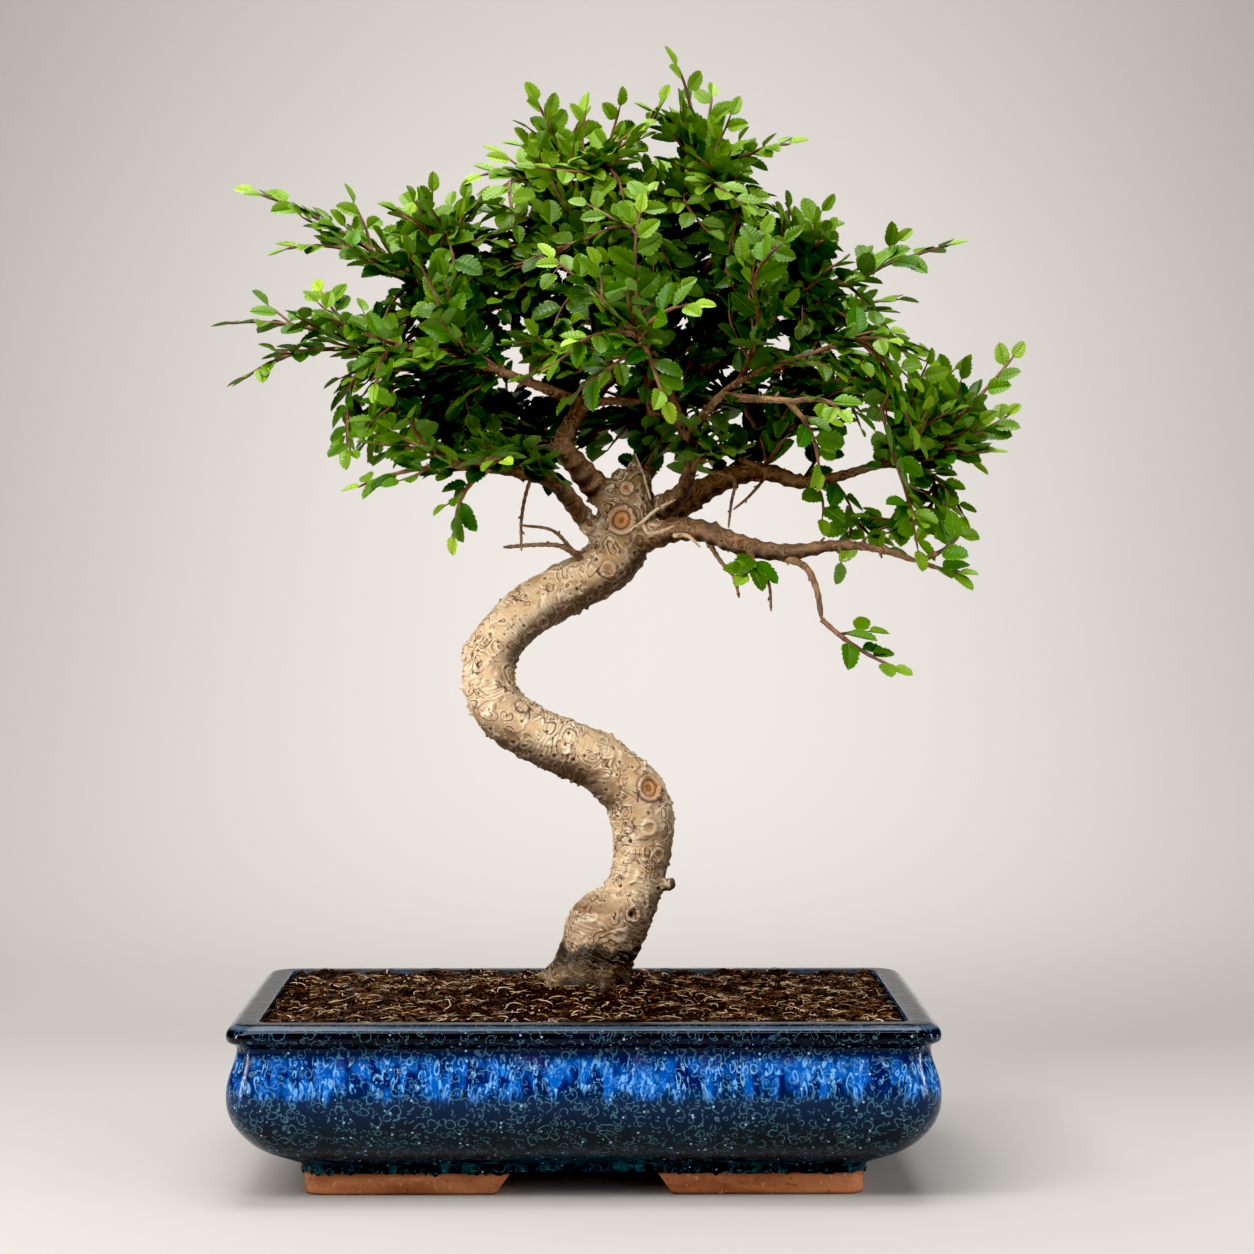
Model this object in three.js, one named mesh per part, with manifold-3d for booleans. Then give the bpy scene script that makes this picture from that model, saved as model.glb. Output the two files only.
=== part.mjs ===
// A Chinese elm bonsai in a glazed rectangular pot: millimetres, +Z up, the front of the tree towards -Y.
import * as THREE from 'three';
import { mergeVertices } from 'three/addons/utils/BufferGeometryUtils.js';
import Module from 'manifold-3d';

const wasm = await Module();
wasm.setup();

// Driving dimensions of the pot
const POT_LENGTH = 265;
const POT_DEPTH = 185;
const POT_HEIGHT = 67;
const POT_X = -0.8;
const FOOT_HEIGHT = 8;
const FOOT_BAR = 15;
const FOOT_LENGTH = 76;
const FOOT_RETURN = 36;
const FOOT_SLOPE = 6;
const FOOT_RING_INSET = 27.7;
const FOOT_CORNER = 9;
const FLOOR_TOP = 15;
const DRAIN_RADIUS = 9;
const DRAIN_X = 58;
const DRAIN_SIDES = 12;
const DRILL_LENGTH = 20;
const DRILL_DROP = 4;
const CORNER_STEPS = 3;

// Driving dimensions of the screens and the soil
const GAP = 0.3;
const SOIL_GAP = GAP + 0.1;
const SCREEN_SIZE = 32;
const SCREEN_THICKNESS = 1.2;
const SCREEN_CELLS = 3;
const SCREEN_BAR = 1.8;
const SOIL_EDGE_HEIGHT = 64.4;
const SOIL_MOUND = 8;
const MOUND_REACH_X = 56;
const MOUND_REACH_Y = 44;
const CRUMB_HEIGHT = 0.7;
const SWELL_HEIGHT = 0.5;
const SOIL_RINGS = 6;
const SOIL_SIDE_STEPS = 4;

// Driving dimensions of the tree
const ROOT_Z = 46;
const FOOT_SIDES = 13;
const LOBE_TOP = 84;
const LOBE_FADE = 16;
const LOBE_REACH = 0.1;
const TRUNK_SIDES = 11;
const TRUNK_RINGS = 30;
const LIMB_SIDES = 5;
const KNOT_SIDES = 6;
const KNOT_ROOT = 3;

// Driving dimensions of the branches: where they fork, how they bow and how thick they are
const FORK_STEPS = 20;
const FIRST_FORK = 5;
const TURN_COST = 0.45;
const ROUTE_LEAN = 0.6;
const ROUTE_RISE = 0.07;
const ROUTE_SWAY = 0.08;
const ROUTE_SWAY_STEP = 0.02;
const ROUTE_TRIES = 12;
const ROUTE_POINTS = 40;
const ROUTE_CLEARANCE = 3.2;
const BRANCH_SHARE = 0.6;
const BRANCH_RADIUS = 1.1;
const BRANCH_GROWTH = 0.008;

// Driving dimensions of the sprays
const SPRAY_LENGTH = 50;
const LEAFY_SHARE = 0.66;
const TWIG_RADIUS = 0.95;
const TWIG_TIP_RADIUS = 0.6;
const TWIG_JOINTS = 3;
const SHOOT_JOINTS = 2;
const SHOOT_RADIUS = 0.75;
const SHOOT_LENGTH = 29;
const SHOOT_LEAVES = 3;
const SHOOT_SHARES = [0.08, 0.3, 0.52];
const SHOOT_OPEN = 0.95;
const SHOOT_OPEN_SWAY = 0.15;
const SHOOT_RISE = 0.25;
const SHOOT_BOW = 0.3;
const LEAF_PITCH = 11;
const LEAF_LENGTH = 13;
const LEAF_WIDTH = 8;
const LEAF_SHRINK = 0.32;
const LEAF_SIZE_SWAY = 0.08;
const LEAF_RIB = 0.9;
const RIB_OVER = 0.35;
const RIM_UNDER = 0.2;
const LEAF_FOLD = 0.34;
const LEAF_DROOP = 0.1;
const LEAF_OPEN = 0.9;
const LEAF_OPEN_SWAY = 0.22;
const LEAF_LIFT = 0.12;
const LEAF_LIFT_SWAY = 0.22;
const LIGHT_SWAY = 0.35;
const FIRST_LEAF = 0.07;
const FIRST_SHOOT_LEAF = 0.3;
const LEAF_TRIES = 9;
const ROOT_SINK = 1.4;
const TIP_LEAF = 7;

const FIRED_GLAZE = new THREE.MeshStandardMaterial({ color: 0x14263a, roughness: 0.16, metalness: 0 });
const SCREEN_PLASTIC = new THREE.MeshStandardMaterial({ color: 0x1c1d1c, roughness: 0.6, metalness: 0 });
const SOIL_EARTH = new THREE.MeshStandardMaterial({ color: 0x2a1f18, roughness: 0.95, metalness: 0 });
const BARK = new THREE.MeshStandardMaterial({ color: 0x9c8468, roughness: 0.85, metalness: 0 });
const LEAF_GREEN = new THREE.MeshStandardMaterial({ color: 0x3c5f26, roughness: 0.45, metalness: 0 });

const UP = new THREE.Vector3(0, 0, 1);
const vec = (x, y, z) => new THREE.Vector3(x, y, z);
const mix = THREE.MathUtils.lerp;

// A repeatable draw between 0 and 1 for the numbers of a spray, a leaf and a use
function chance(a, b, c) {
  const wave = Math.sin(a * 12.9898 + b * 78.233 + c * 37.719) * 43758.5453;
  return wave - Math.floor(wave);
}

// A repeatable draw between -1 and 1
function sway(a, b, c) {
  return 2 * chance(a, b, c) - 1;
}

// A geometry of points and of triangles between them
function meshOf(points, index) {
  const geometry = new THREE.BufferGeometry();
  const flat = points.flatMap((p) => [p.x, p.y, p.z]);
  geometry.setAttribute('position', new THREE.Float32BufferAttribute(flat, 3));
  geometry.setIndex(index);
  return geometry;
}

// A closed geometry becomes a solid that can be joined and cut
function solid(geometry) {
  const bare = geometry.clone();
  bare.deleteAttribute('normal');
  bare.deleteAttribute('uv');
  const merged = mergeVertices(bare, 1e-4);
  return new wasm.Manifold(new wasm.Mesh({
    numProp: 3,
    vertProperties: new Float32Array(merged.attributes.position.array),
    triVerts: new Uint32Array(merged.index.array),
  }));
}

// The solid's vertices and triangles as a geometry
function geometryOf(shape) {
  const mesh = shape.getMesh();
  const geometry = new THREE.BufferGeometry();
  geometry.setAttribute('position', new THREE.BufferAttribute(new Float32Array(mesh.vertProperties), 3));
  geometry.setIndex(new THREE.BufferAttribute(new Uint32Array(mesh.triVerts), 1));
  geometry.computeVertexNormals();
  return geometry;
}

// All the shapes joined into one
function fuse(shapes) {
  return shapes.reduce((whole, shape) => whole.add(shape));
}

// A closed skin over rings of equally many points, each turning left about the way they travel
function loft(rings) {
  const count = rings[0].length;
  const points = rings.flat();
  const middle = (ring) => ring.reduce((sum, p) => sum.add(p), vec(0, 0, 0)).divideScalar(count);
  points.push(middle(rings[0]), middle(rings[rings.length - 1]));
  const start = points.length - 2;
  const end = points.length - 1;
  const last = (rings.length - 1) * count;
  const index = [];
  for (let j = 0; j < count; j += 1) {
    const next = (j + 1) % count;
    index.push(start, next, j);
    index.push(end, last + j, last + next);
    for (let i = 0; i < rings.length - 1; i += 1) {
      const low = i * count;
      const high = low + count;
      index.push(low + j, low + next, high + next);
      index.push(low + j, high + next, high + j);
    }
  }
  return meshOf(points, index);
}

// A round tube along a curve, its radius and its relief given by functions
function tube(curve, rings, sides, radiusAt, relief = () => 1) {
  const frames = curve.computeFrenetFrames(rings, false);
  const loops = [];
  for (let i = 0; i <= rings; i += 1) {
    const t = i / rings;
    const centre = curve.getPointAt(t);
    const loop = [];
    for (let j = 0; j < sides; j += 1) {
      const angle = (j / sides) * 2 * Math.PI;
      const radius = radiusAt(t) * relief(angle, t);
      const point = centre.clone();
      point.addScaledVector(frames.normals[i], radius * Math.cos(angle));
      point.addScaledVector(frames.binormals[i], radius * Math.sin(angle));
      loop.push(point);
    }
    loops.push(loop);
  }
  return loft(loops);
}

// A level rounded rectangle, its corner arcs and sides split evenly
function rectangleLoop(halfX, halfY, corner, z, sideSteps = 1) {
  const arc = [];
  const loop = [];
  for (let quarter = 0; quarter < 4; quarter += 1) {
    const signX = quarter === 0 || quarter === 3 ? 1 : -1;
    const signY = quarter < 2 ? 1 : -1;
    for (let step = 0; step <= CORNER_STEPS; step += 1) {
      const angle = (quarter + step / CORNER_STEPS) * Math.PI / 2;
      const x = signX * (halfX - corner) + corner * Math.cos(angle);
      const y = signY * (halfY - corner) + corner * Math.sin(angle);
      arc.push(vec(x, y, z));
    }
  }
  arc.forEach((point, i) => {
    loop.push(point);
    const endsCorner = i % (CORNER_STEPS + 1) === CORNER_STEPS;
    const next = arc[(i + 1) % arc.length];
    for (let step = 1; endsCorner && step < sideSteps; step += 1) {
      loop.push(point.clone().lerp(next, step / sideSteps));
    }
  });
  return loop;
}

// Pot: each row is inset from the belly, height, and corner radius, up the outside and down the inside
const POT_OUTSIDE = [
  [FOOT_RING_INSET, FOOT_HEIGHT, 9], [FOOT_RING_INSET, 11, 9], [21, 13.9, 10], [14.3, 17, 11],
  [9.9, 19.9, 12], [6.2, 23.8, 13], [3.2, 27.6, 14], [0.3, 34.8, 15],
  [0, 40, 15], [0.4, 44.1, 15], [1.7, 48.4, 14], [3.6, 53.2, 12], [4.3, 56.8, 11],
  [2.4, 59.2, 10], [0.9, 60.4, 10], [0.8, 65.4, 10], [2.2, POT_HEIGHT, 9],
];
const POT_INSIDE = [
  [12.4, POT_HEIGHT, 6], [13, 66, 6], [13, 58, 6], [9, 48, 8], [8, 38, 8], [11, 26, 8], [20, 18, 8],
  [32, FLOOR_TOP, 8],
];

function potLoop([inset, z, corner], clearance = 0, sideSteps = 1) {
  const shrink = inset + clearance;
  return rectangleLoop(POT_LENGTH / 2 - shrink, POT_DEPTH / 2 - shrink, corner, z, sideSteps);
}

// One corner foot: an L of two bars, whose long bar's inner end slopes in towards the floor
function footGeometry() {
  const outerX = POT_LENGTH / 2 - FOOT_RING_INSET;
  const outerY = POT_DEPTH / 2 - FOOT_RING_INSET;
  const outline = new THREE.Shape();
  outline.moveTo(outerX - FOOT_LENGTH, outerY);
  outline.lineTo(outerX - FOOT_LENGTH, outerY - FOOT_BAR);
  outline.lineTo(outerX - FOOT_BAR, outerY - FOOT_BAR);
  outline.lineTo(outerX - FOOT_BAR, outerY - FOOT_RETURN);
  outline.lineTo(outerX, outerY - FOOT_RETURN);
  outline.lineTo(outerX, outerY - FOOT_CORNER);
  outline.absarc(outerX - FOOT_CORNER, outerY - FOOT_CORNER, FOOT_CORNER, 0, Math.PI / 2, false);
  const geometry = new THREE.ExtrudeGeometry(outline, {
    depth: FOOT_HEIGHT + 1, bevelEnabled: false, curveSegments: CORNER_STEPS,
  });
  const place = geometry.attributes.position;
  for (let i = 0; i < place.count; i += 1) {
    const isInnerEnd = Math.abs(place.getX(i) - (outerX - FOOT_LENGTH)) < 0.1;
    if (isInnerEnd && place.getZ(i) < 1) place.setX(i, place.getX(i) + FOOT_SLOPE);
  }
  return geometry;
}

function potSolid() {
  const loops = [...POT_OUTSIDE, ...POT_INSIDE].map((row) => potLoop(row));
  let pot = solid(loft(loops));
  const foot = solid(footGeometry());
  for (const [turnX, turnY] of [[1, 1], [-1, 1], [-1, -1], [1, -1]]) {
    pot = pot.add(foot.scale([turnX, turnY, 1]));
  }
  for (const side of [-1, 1]) {
    const drill = new THREE.CylinderGeometry(DRAIN_RADIUS, DRAIN_RADIUS, DRILL_LENGTH, DRAIN_SIDES);
    drill.rotateX(Math.PI / 2);
    drill.translate(side * DRAIN_X, 0, FLOOR_TOP - DRILL_DROP);
    pot = pot.subtract(solid(drill));
  }
  return pot.translate([POT_X, 0, 0]);
}

// Drainage screens: square plastic mesh lying over each hole
function screenSolid() {
  const pitch = (SCREEN_SIZE - SCREEN_BAR) / SCREEN_CELLS;
  const cell = new THREE.BoxGeometry(pitch - SCREEN_BAR, pitch - SCREEN_BAR, 3 * SCREEN_THICKNESS);
  let screen = solid(new THREE.BoxGeometry(SCREEN_SIZE, SCREEN_SIZE, SCREEN_THICKNESS));
  for (let row = 0; row < SCREEN_CELLS; row += 1) {
    for (let column = 0; column < SCREEN_CELLS; column += 1) {
      const x = (column - (SCREEN_CELLS - 1) / 2) * pitch;
      const y = (row - (SCREEN_CELLS - 1) / 2) * pitch;
      screen = screen.subtract(solid(cell.clone().translate(x, y, 0)));
    }
  }
  return screen;
}

// Trunk foot: height, radius and centre x, from under the soil up to the shoulder where the trunk narrows
const FOOT_PROFILE = [
  [ROOT_Z, 10, 0], [51, 14, 0], [58, 17.6, 0], [65, 18.8, -0.6], [70, 17.6, -0.6], [75, 16.2, 0],
  [80, 15.6, 2.4], [85, 15.8, 5], [90, 15.8, 7], [97, 16.4, 9.4], [102, 15.4, 11], [105.6, 13, 12.4],
  [108, 8.6, 14.4],
];

// Thick roots run out of the foot, and fade up the trunk
function rootLobes(angle, z) {
  const fade = THREE.MathUtils.clamp((LOBE_TOP - z) / LOBE_FADE, 0, 1);
  return 1 + fade * LOBE_REACH * (Math.sin(5 * angle + 0.8) + 0.6 * Math.sin(3 * angle + 2.1));
}

function trunkFoot(clearance) {
  const rings = FOOT_PROFILE.map(([z, radius, x], row) => {
    const ring = [];
    for (let j = 0; j < FOOT_SIDES; j += 1) {
      const angle = (j / FOOT_SIDES) * 2 * Math.PI;
      const reach = radius * rootLobes(angle, z) + clearance;
      const drop = row === 0 ? clearance : 0;
      ring.push(vec(x + reach * Math.cos(angle), reach * Math.sin(angle), z - drop));
    }
    return ring;
  });
  return loft(rings);
}

// Soil: fills the pot, mounds a little towards the trunk, and is crumbly on top
function soilHeight(x, y) {
  const away = Math.hypot(x / MOUND_REACH_X, y / MOUND_REACH_Y);
  const mound = SOIL_MOUND * Math.exp(-away * away);
  const crumbs = CRUMB_HEIGHT * Math.sin(x * 0.31 + 1.3 * Math.sin(y * 0.23)) * Math.sin(y * 0.37 + 0.7);
  return SOIL_EDGE_HEIGHT + mound + crumbs + SWELL_HEIGHT * Math.sin(x * 0.11 + y * 0.17);
}

function soilSolid(screens) {
  const wall = POT_INSIDE.slice(1).reverse();
  const loops = wall.map((row, i) => {
    const lifted = [row[0], i === 0 ? row[1] + GAP : row[1], row[2]];
    return potLoop(lifted, SOIL_GAP, SOIL_SIDE_STEPS);
  });
  const edge = loops.pop();
  for (let ring = 0; ring < SOIL_RINGS; ring += 1) {
    const size = 1 - ring / SOIL_RINGS;
    const flat = edge.map((p) => vec(p.x * size, p.y * size, 0));
    loops.push(flat.map((p) => vec(p.x, p.y, soilHeight(p.x, p.y))));
  }
  let soil = solid(loft(loops)).translate([POT_X, 0, 0]).subtract(solid(trunkFoot(SOIL_GAP)));
  for (const screen of screens) {
    const pocketSize = SCREEN_SIZE + 2 * GAP;
    const pocket = new THREE.BoxGeometry(pocketSize, pocketSize, 4 * SCREEN_THICKNESS);
    pocket.translate(screen.x, screen.y, FLOOR_TOP + GAP);
    soil = soil.subtract(solid(pocket));
  }
  return soil;
}

// Trunk: centre x, y, z and diameter up its S shape
const TRUNK = [
  [9, 0, 84, 22], [13, 0.5, 95, 23], [18, 1.2, 106, 22], [20.8, 2, 116, 21.2], [22, 2, 127, 23.2],
  [21.6, 1.5, 136, 25], [18.6, 1, 145, 24.6], [11, 0, 152.6, 22.8], [4.1, -1, 158.2, 22.5],
  [-3.7, -2, 161.7, 22], [-11.5, -3, 164.8, 21.8], [-18.9, -3.5, 168.3, 21.4], [-25.9, -4, 172.2, 21],
  [-32.2, -4, 176.9, 20.6], [-36.5, -3.5, 184, 20.2], [-38, -3, 192, 20.2], [-37.2, -2, 199.5, 20.8],
  [-32.5, -0.5, 207, 19.5], [-25, 1, 214.6, 19.8], [-14.2, 3, 221.7, 20.3], [-4.1, 5, 227.2, 20.7],
  [5, 6.5, 232.3, 21], [10.7, 8, 238, 22.5], [13.4, 8.5, 244.3, 24], [15.4, 9, 252, 23],
  [16.6, 9.5, 260, 20], [16.8, 9.5, 267, 17], [16.8, 9.5, 272, 10],
];

// Limbs: centre x, y, z and diameter, each from inside what it grows out of
const LIMBS = {
  lowLeft: [[9, 9, 242, 10], [0, 4, 252, 7.4], [-7, -4, 261, 7], [-13, -10, 267, 6.2],
    [-24, -18, 270, 5], [-37, -24, 272, 4.2], [-51, -30, 273, 3.2]],
  leftArm: [[14, 10, 256, 14], [3, 3, 266, 10.6], [-4, -3, 274, 8.8], [-9, -6, 281, 7.8],
    [-6, -4, 289, 6.6], [-1, 0, 297, 6.2], [6, 4, 304, 5.6], [10, 6, 309, 4.8], [4, 0, 319, 3.6],
    [-6, -6, 330, 2.8]],
  leftBack: [[-7, -4, 281, 6.4], [-19, 10, 285, 5.4], [-32, 24, 290, 4.8], [-43, 34, 300, 4.2],
    [-54, 40, 309, 3.6], [-66, 42, 315, 3], [-80, 40, 318, 2.6]],
  leftRise: [[-31, 23, 290, 4.4], [-37, 20, 300, 3.8], [-42, 14, 312, 3.4], [-50, 6, 326, 2.8],
    [-62, 0, 340, 2.4]],
  leftFront: [[-1, 0, 297, 5], [-12, -16, 301, 4], [-26, -30, 306, 3.4], [-44, -36, 312, 3],
    [-64, -32, 316, 2.6]],
  crown: [[18, 12, 262, 12], [24, 20, 278, 9.4], [28, 19, 292, 8.4], [26, 12, 305, 7.6],
    [21, 4, 315, 4.8], [14, -4, 322, 3.8], [9, -8, 331, 3.2], [5, -8, 340, 2.9], [2, -4, 352, 2.6],
    [-2, 0, 363, 2.2], [-5, 4, 376, 2]],
  crownRight: [[27, 14, 303, 6], [28, 20, 316, 4.6], [30, 24, 332, 4], [33, 24, 347, 3.4],
    [38, 20, 363, 2.8], [42, 16, 377, 2.2]],
  rightLeader: [[30, 10, 257, 10], [38, 2, 264, 6.4], [40, -6, 273, 5.6], [39, -8, 282, 5.2],
    [36, -7, 291, 4], [33, -2, 302, 3.4], [30, 2, 314, 2.6]],
  rightFork: [[39, -8, 281, 4.6], [45, -14, 292, 3.4], [52, -20, 300, 3], [62, -26, 307, 2.7],
    [73, -30, 311, 2.4], [86, -30, 315, 2]],
  rightArm: [[14, 10, 250, 15], [26, 13, 253, 12], [37, 16, 258, 10.6], [49, 18, 265.5, 9.2],
    [61, 18, 270.5, 8.2], [72, 16, 271, 7], [84, 10, 267, 5.2], [98, 4, 269, 4], [112, 0, 273, 3],
    [127, -3, 275, 2.4]],
  lowRight: [[12, 7, 243, 14], [25, 4, 246, 11], [36, -2, 248.5, 9], [46, -8, 247.5, 8.2],
    [58, -14, 243, 7.8], [70, -18, 240, 6.8], [82, -20, 240, 5.8], [94, -20, 242, 4.4],
    [105, -21, 242, 3.3], [117, -23, 239.5, 2.6], [127, -25, 236, 2.2]],
  lowRightDrop: [[72, -18, 239, 4], [84, -23, 234, 2.6], [88, -26, 226, 2.4], [90, -28, 214, 2]],
  rightHigh: [[28, 20, 297, 5], [41, 21, 306, 4.2], [54, 20, 319, 3.6], [69, 18, 330, 3],
    [84, 14, 339, 2.4]],
  front: [[26, 12, 305, 5.4], [27, -6, 309, 4.4], [26, -24, 313, 3.8], [23, -42, 317, 3.2],
    [20, -58, 320, 2.6]],
  frontRight: [[52, -20, 300, 3.4], [60, -36, 298, 3], [68, -50, 297, 2.6], [78, -60, 296, 2.2]],
  back: [[27, 20, 288, 6], [24, 36, 296, 4.6], [18, 52, 304, 3.8], [10, 66, 312, 3.2],
    [0, 78, 320, 2.6]],
  backRight: [[56, 19, 268, 6], [66, 34, 278, 4.6], [76, 48, 290, 3.8], [84, 58, 303, 3.2],
    [88, 64, 318, 2.6]],
};

// Bare twigs and stubs: centre x, y, z and diameter
const BARE = [
  [[46, -8, 246, 3], [52, -12, 236, 2.2], [57, -14, 230, 2], [58, -15, 222, 1.8]],
  [[57, -14, 243, 3], [66, -17, 233, 2.2], [70, -20, 228, 2], [71, -22, 217, 1.8]],
  [[0, 3, 236, 5], [-10, -8, 242, 2.6], [-18, -10, 242.5, 2.2], [-32, -12, 241.5, 1.8]],
  [[-1, 0, 296, 4], [6, -4, 298, 3.2], [21, -8, 298, 2.8]],
  [[26, 12, 304, 6], [27.5, 10, 312, 4], [28.5, 8, 320, 1.6]],
  [[22, 0, 109, 7], [30, -3, 110, 5.4], [34.4, -4.4, 110.8, 4.4]],
];

// Old cut scars and knots: x, y, z of the middle, radius, and 1 where the middle is hollow
const KNOTS = [
  [25, -10, 148.5, 5, 1], [18, -14, 99.7, 3.2, 1], [-24, -14, 181, 3.4, 1],
  [14, -3, 252, 6.4, 0], [-47, -4, 200.5, 3.6, 0], [-16.6, -7, 212, 3, 1],
];

function curveThrough(rows) {
  return new THREE.CatmullRomCurve3(rows.map(([x, y, z]) => vec(x, y, z)), false, 'centripetal');
}

// The diameter column of the rows, read at any share of the curve's length
function radiusAlong(rows) {
  const reach = [0];
  for (let i = 1; i < rows.length; i += 1) {
    const [from, to] = [rows[i - 1], rows[i]];
    reach.push(reach[i - 1] + Math.hypot(to[0] - from[0], to[1] - from[1], to[2] - from[2]));
  }
  const whole = reach[reach.length - 1];
  return (t) => {
    const place = t * whole;
    const i = Math.min(rows.length - 2, Math.max(0, reach.findIndex((value) => value >= place) - 1));
    const share = (place - reach[i]) / (reach[i + 1] - reach[i]);
    return mix(rows[i][3], rows[i + 1][3], share) / 2;
  };
}

// The trunk's skin swells and hollows a little as it climbs
function trunkRelief(angle, t) {
  const slow = 0.05 * Math.sin(2 * angle + 9 * t) + 0.035 * Math.sin(3 * angle - 14 * t + 1);
  return 1 + slow + 0.02 * Math.sin(5 * angle + 31 * t);
}

function trunkTube() {
  return tube(curveThrough(TRUNK), TRUNK_RINGS, TRUNK_SIDES, radiusAlong(TRUNK), trunkRelief);
}

function limbTube(rows, sides) {
  const rings = rows.length - 1;
  const relief = (angle, t) => 1 + 0.06 * Math.sin(2 * angle + 11 * t);
  return tube(curveThrough(rows), rings, sides, radiusAlong(rows), relief);
}

// A scar is a low round boss with a rolled lip, set square to the trunk's surface
function knotGeometry([x, y, z, radius, hollow]) {
  const curve = curveThrough(TRUNK);
  const middle = vec(x, y, z);
  const samples = curve.getPoints(120);
  const core = samples.reduce((best, p) => (p.distanceTo(middle) < best.distanceTo(middle) ? p : best));
  const outward = middle.clone().sub(core).normalize();
  const dip = hollow ? -0.15 * radius : 0.3 * radius;
  const profile = [[0, -KNOT_ROOT], [radius * 1.2, -KNOT_ROOT], [radius * 0.8, 0.4 * radius], [0, dip]];
  const lathe = new THREE.LatheGeometry(profile.map(([r, h]) => new THREE.Vector2(r, h)), KNOT_SIDES);
  const turn = new THREE.Quaternion().setFromUnitVectors(vec(0, 1, 0), outward);
  lathe.applyQuaternion(turn);
  lathe.translate(x, y, z);
  return lathe;
}

// Where the last leaf of each spray ends: the crown's left side, top, right side, front and back,
// and last the forked sprays that fill its heart
const SPRAY_TIPS = [
  [-135, -10, 382], [-121, -28, 357], [-148, 20, 331], [-140, 5, 306], [-94, -18, 263], [-54, -15, 239],
  [-92, 8, 354], [-72, 14, 377], [-48, 2, 388],
  [-22, 0, 422], [-2, 24, 416], [34, 5, 437], [51, 27, 427], [86, 10, 403], [66, -14, 374],
  [149, 5, 362], [171, -5, 321], [171, 0, 296], [162, -17, 279], [150, -12, 252], [150, -27, 229],
  [124, -34, 192], [61, -32, 226],
  [-30, -66, 274], [31, -84, 289], [-8, -84, 316], [46, -76, 334], [-18, -62, 354], [20, -54, 374],
  [60, -48, 352], [98, -84, 290], [14, -100, 338], [-68, -62, 294], [-58, -66, 330], [90, -56, 262],
  [120, -52, 320], [-102, -48, 330],
  [-112, 66, 350], [-78, 92, 322], [-40, 88, 352], [-100, 62, 292], [-8, 112, 320], [30, 100, 350],
  [-28, 62, 388], [20, 62, 402], [66, 74, 380], [98, 96, 330], [134, 62, 346], [138, 60, 298],
  [-48, 66, 280],
  [12, 2, 398], [-48, -8, 364], [4, -26, 346], [86, 4, 350], [-76, 22, 318],
];
const FORKED_SPRAYS = 5;

// Where a branch leaves: the limb place nearest to the tip that already points its way
function forkPlace(tip) {
  let best = null;
  for (const rows of Object.values(LIMBS)) {
    const curve = curveThrough(rows);
    const radius = radiusAlong(rows);
    for (let step = FIRST_FORK; step <= FORK_STEPS; step += 1) {
      const t = step / FORK_STEPS;
      const point = curve.getPointAt(t);
      const ahead = curve.getTangentAt(t);
      const way = tip.clone().sub(point);
      const distance = way.length();
      const cost = distance * (1 + TURN_COST - TURN_COST * ahead.dot(way.normalize()));
      if (!best || cost < best.cost) best = { cost, point, ahead, distance, radius: radius(t) };
    }
  }
  return best;
}

// The route of one branch and its spray: out of the limb, then bowed up and over to the tip
function sprayRoute(tip, number, attempt) {
  const fork = forkPlace(tip);
  const way = tip.clone().sub(fork.point).normalize();
  tip.addScaledVector(way, -TIP_LEAF);
  const side = way.clone().cross(UP).normalize();
  const lean = fork.ahead.clone().lerp(way, ROUTE_LEAN).normalize();
  const reach = fork.distance * 0.5;
  const knee = fork.point.clone().addScaledVector(lean, reach);
  knee.addScaledVector(UP, fork.distance * ROUTE_RISE * (1 + sway(number, attempt, 1)));
  const swing = ROUTE_SWAY + ROUTE_SWAY_STEP * attempt;
  knee.addScaledVector(side, fork.distance * swing * sway(number, attempt, 2));
  const curve = new THREE.QuadraticBezierCurve3(fork.point, knee, tip);
  const length = curve.getLength();
  const leafy = Math.min(SPRAY_LENGTH, LEAFY_SHARE * length);
  return { curve, fork, length, start: 1 - leafy / length };
}

// Neither route's leafy end comes near the other route
function routesApart(one, other) {
  const near = (a, b) => a.ends.some((p) => b.whole.some((q) => p.distanceTo(q) < ROUTE_CLEARANCE));
  return !near(one, other) && !near(other, one);
}

// Each spray takes the first bow that keeps it apart from the sprays before it
function sprayRoutes() {
  const routes = [];
  SPRAY_TIPS.forEach((row, number) => {
    let route = null;
    for (let attempt = 0; attempt < ROUTE_TRIES; attempt += 1) {
      route = sprayRoute(vec(...row), number, attempt);
      route.whole = route.curve.getSpacedPoints(ROUTE_POINTS);
      route.ends = route.whole.slice(Math.floor(route.start * ROUTE_POINTS));
      if (routes.every((earlier) => routesApart(route, earlier))) break;
    }
    routes.push(route);
  });
  return routes;
}

// Part of a route, from one share of its length to another
function stretch(curve, from, to, steps) {
  const points = [];
  for (let i = 0; i <= steps; i += 1) points.push(curve.getPointAt(mix(from, to, i / steps)));
  return new THREE.CatmullRomCurve3(points, false, 'centripetal');
}

function branchGeometry(route) {
  const bare = stretch(route.curve, 0, route.start - GAP / route.length, 3);
  const base = Math.min(route.fork.radius * BRANCH_SHARE, BRANCH_RADIUS + route.length * BRANCH_GROWTH);
  return tube(bare, 2, 3, (t) => mix(Math.max(base, TWIG_RADIUS), TWIG_RADIUS, t));
}

// A leaf's outline: share of its length, share of its half width, on one side from foot to tip
const LEAF_OUTLINE = [[0.37, 0.95], [0.5, 0.76], [0.67, 0.8]];

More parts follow.
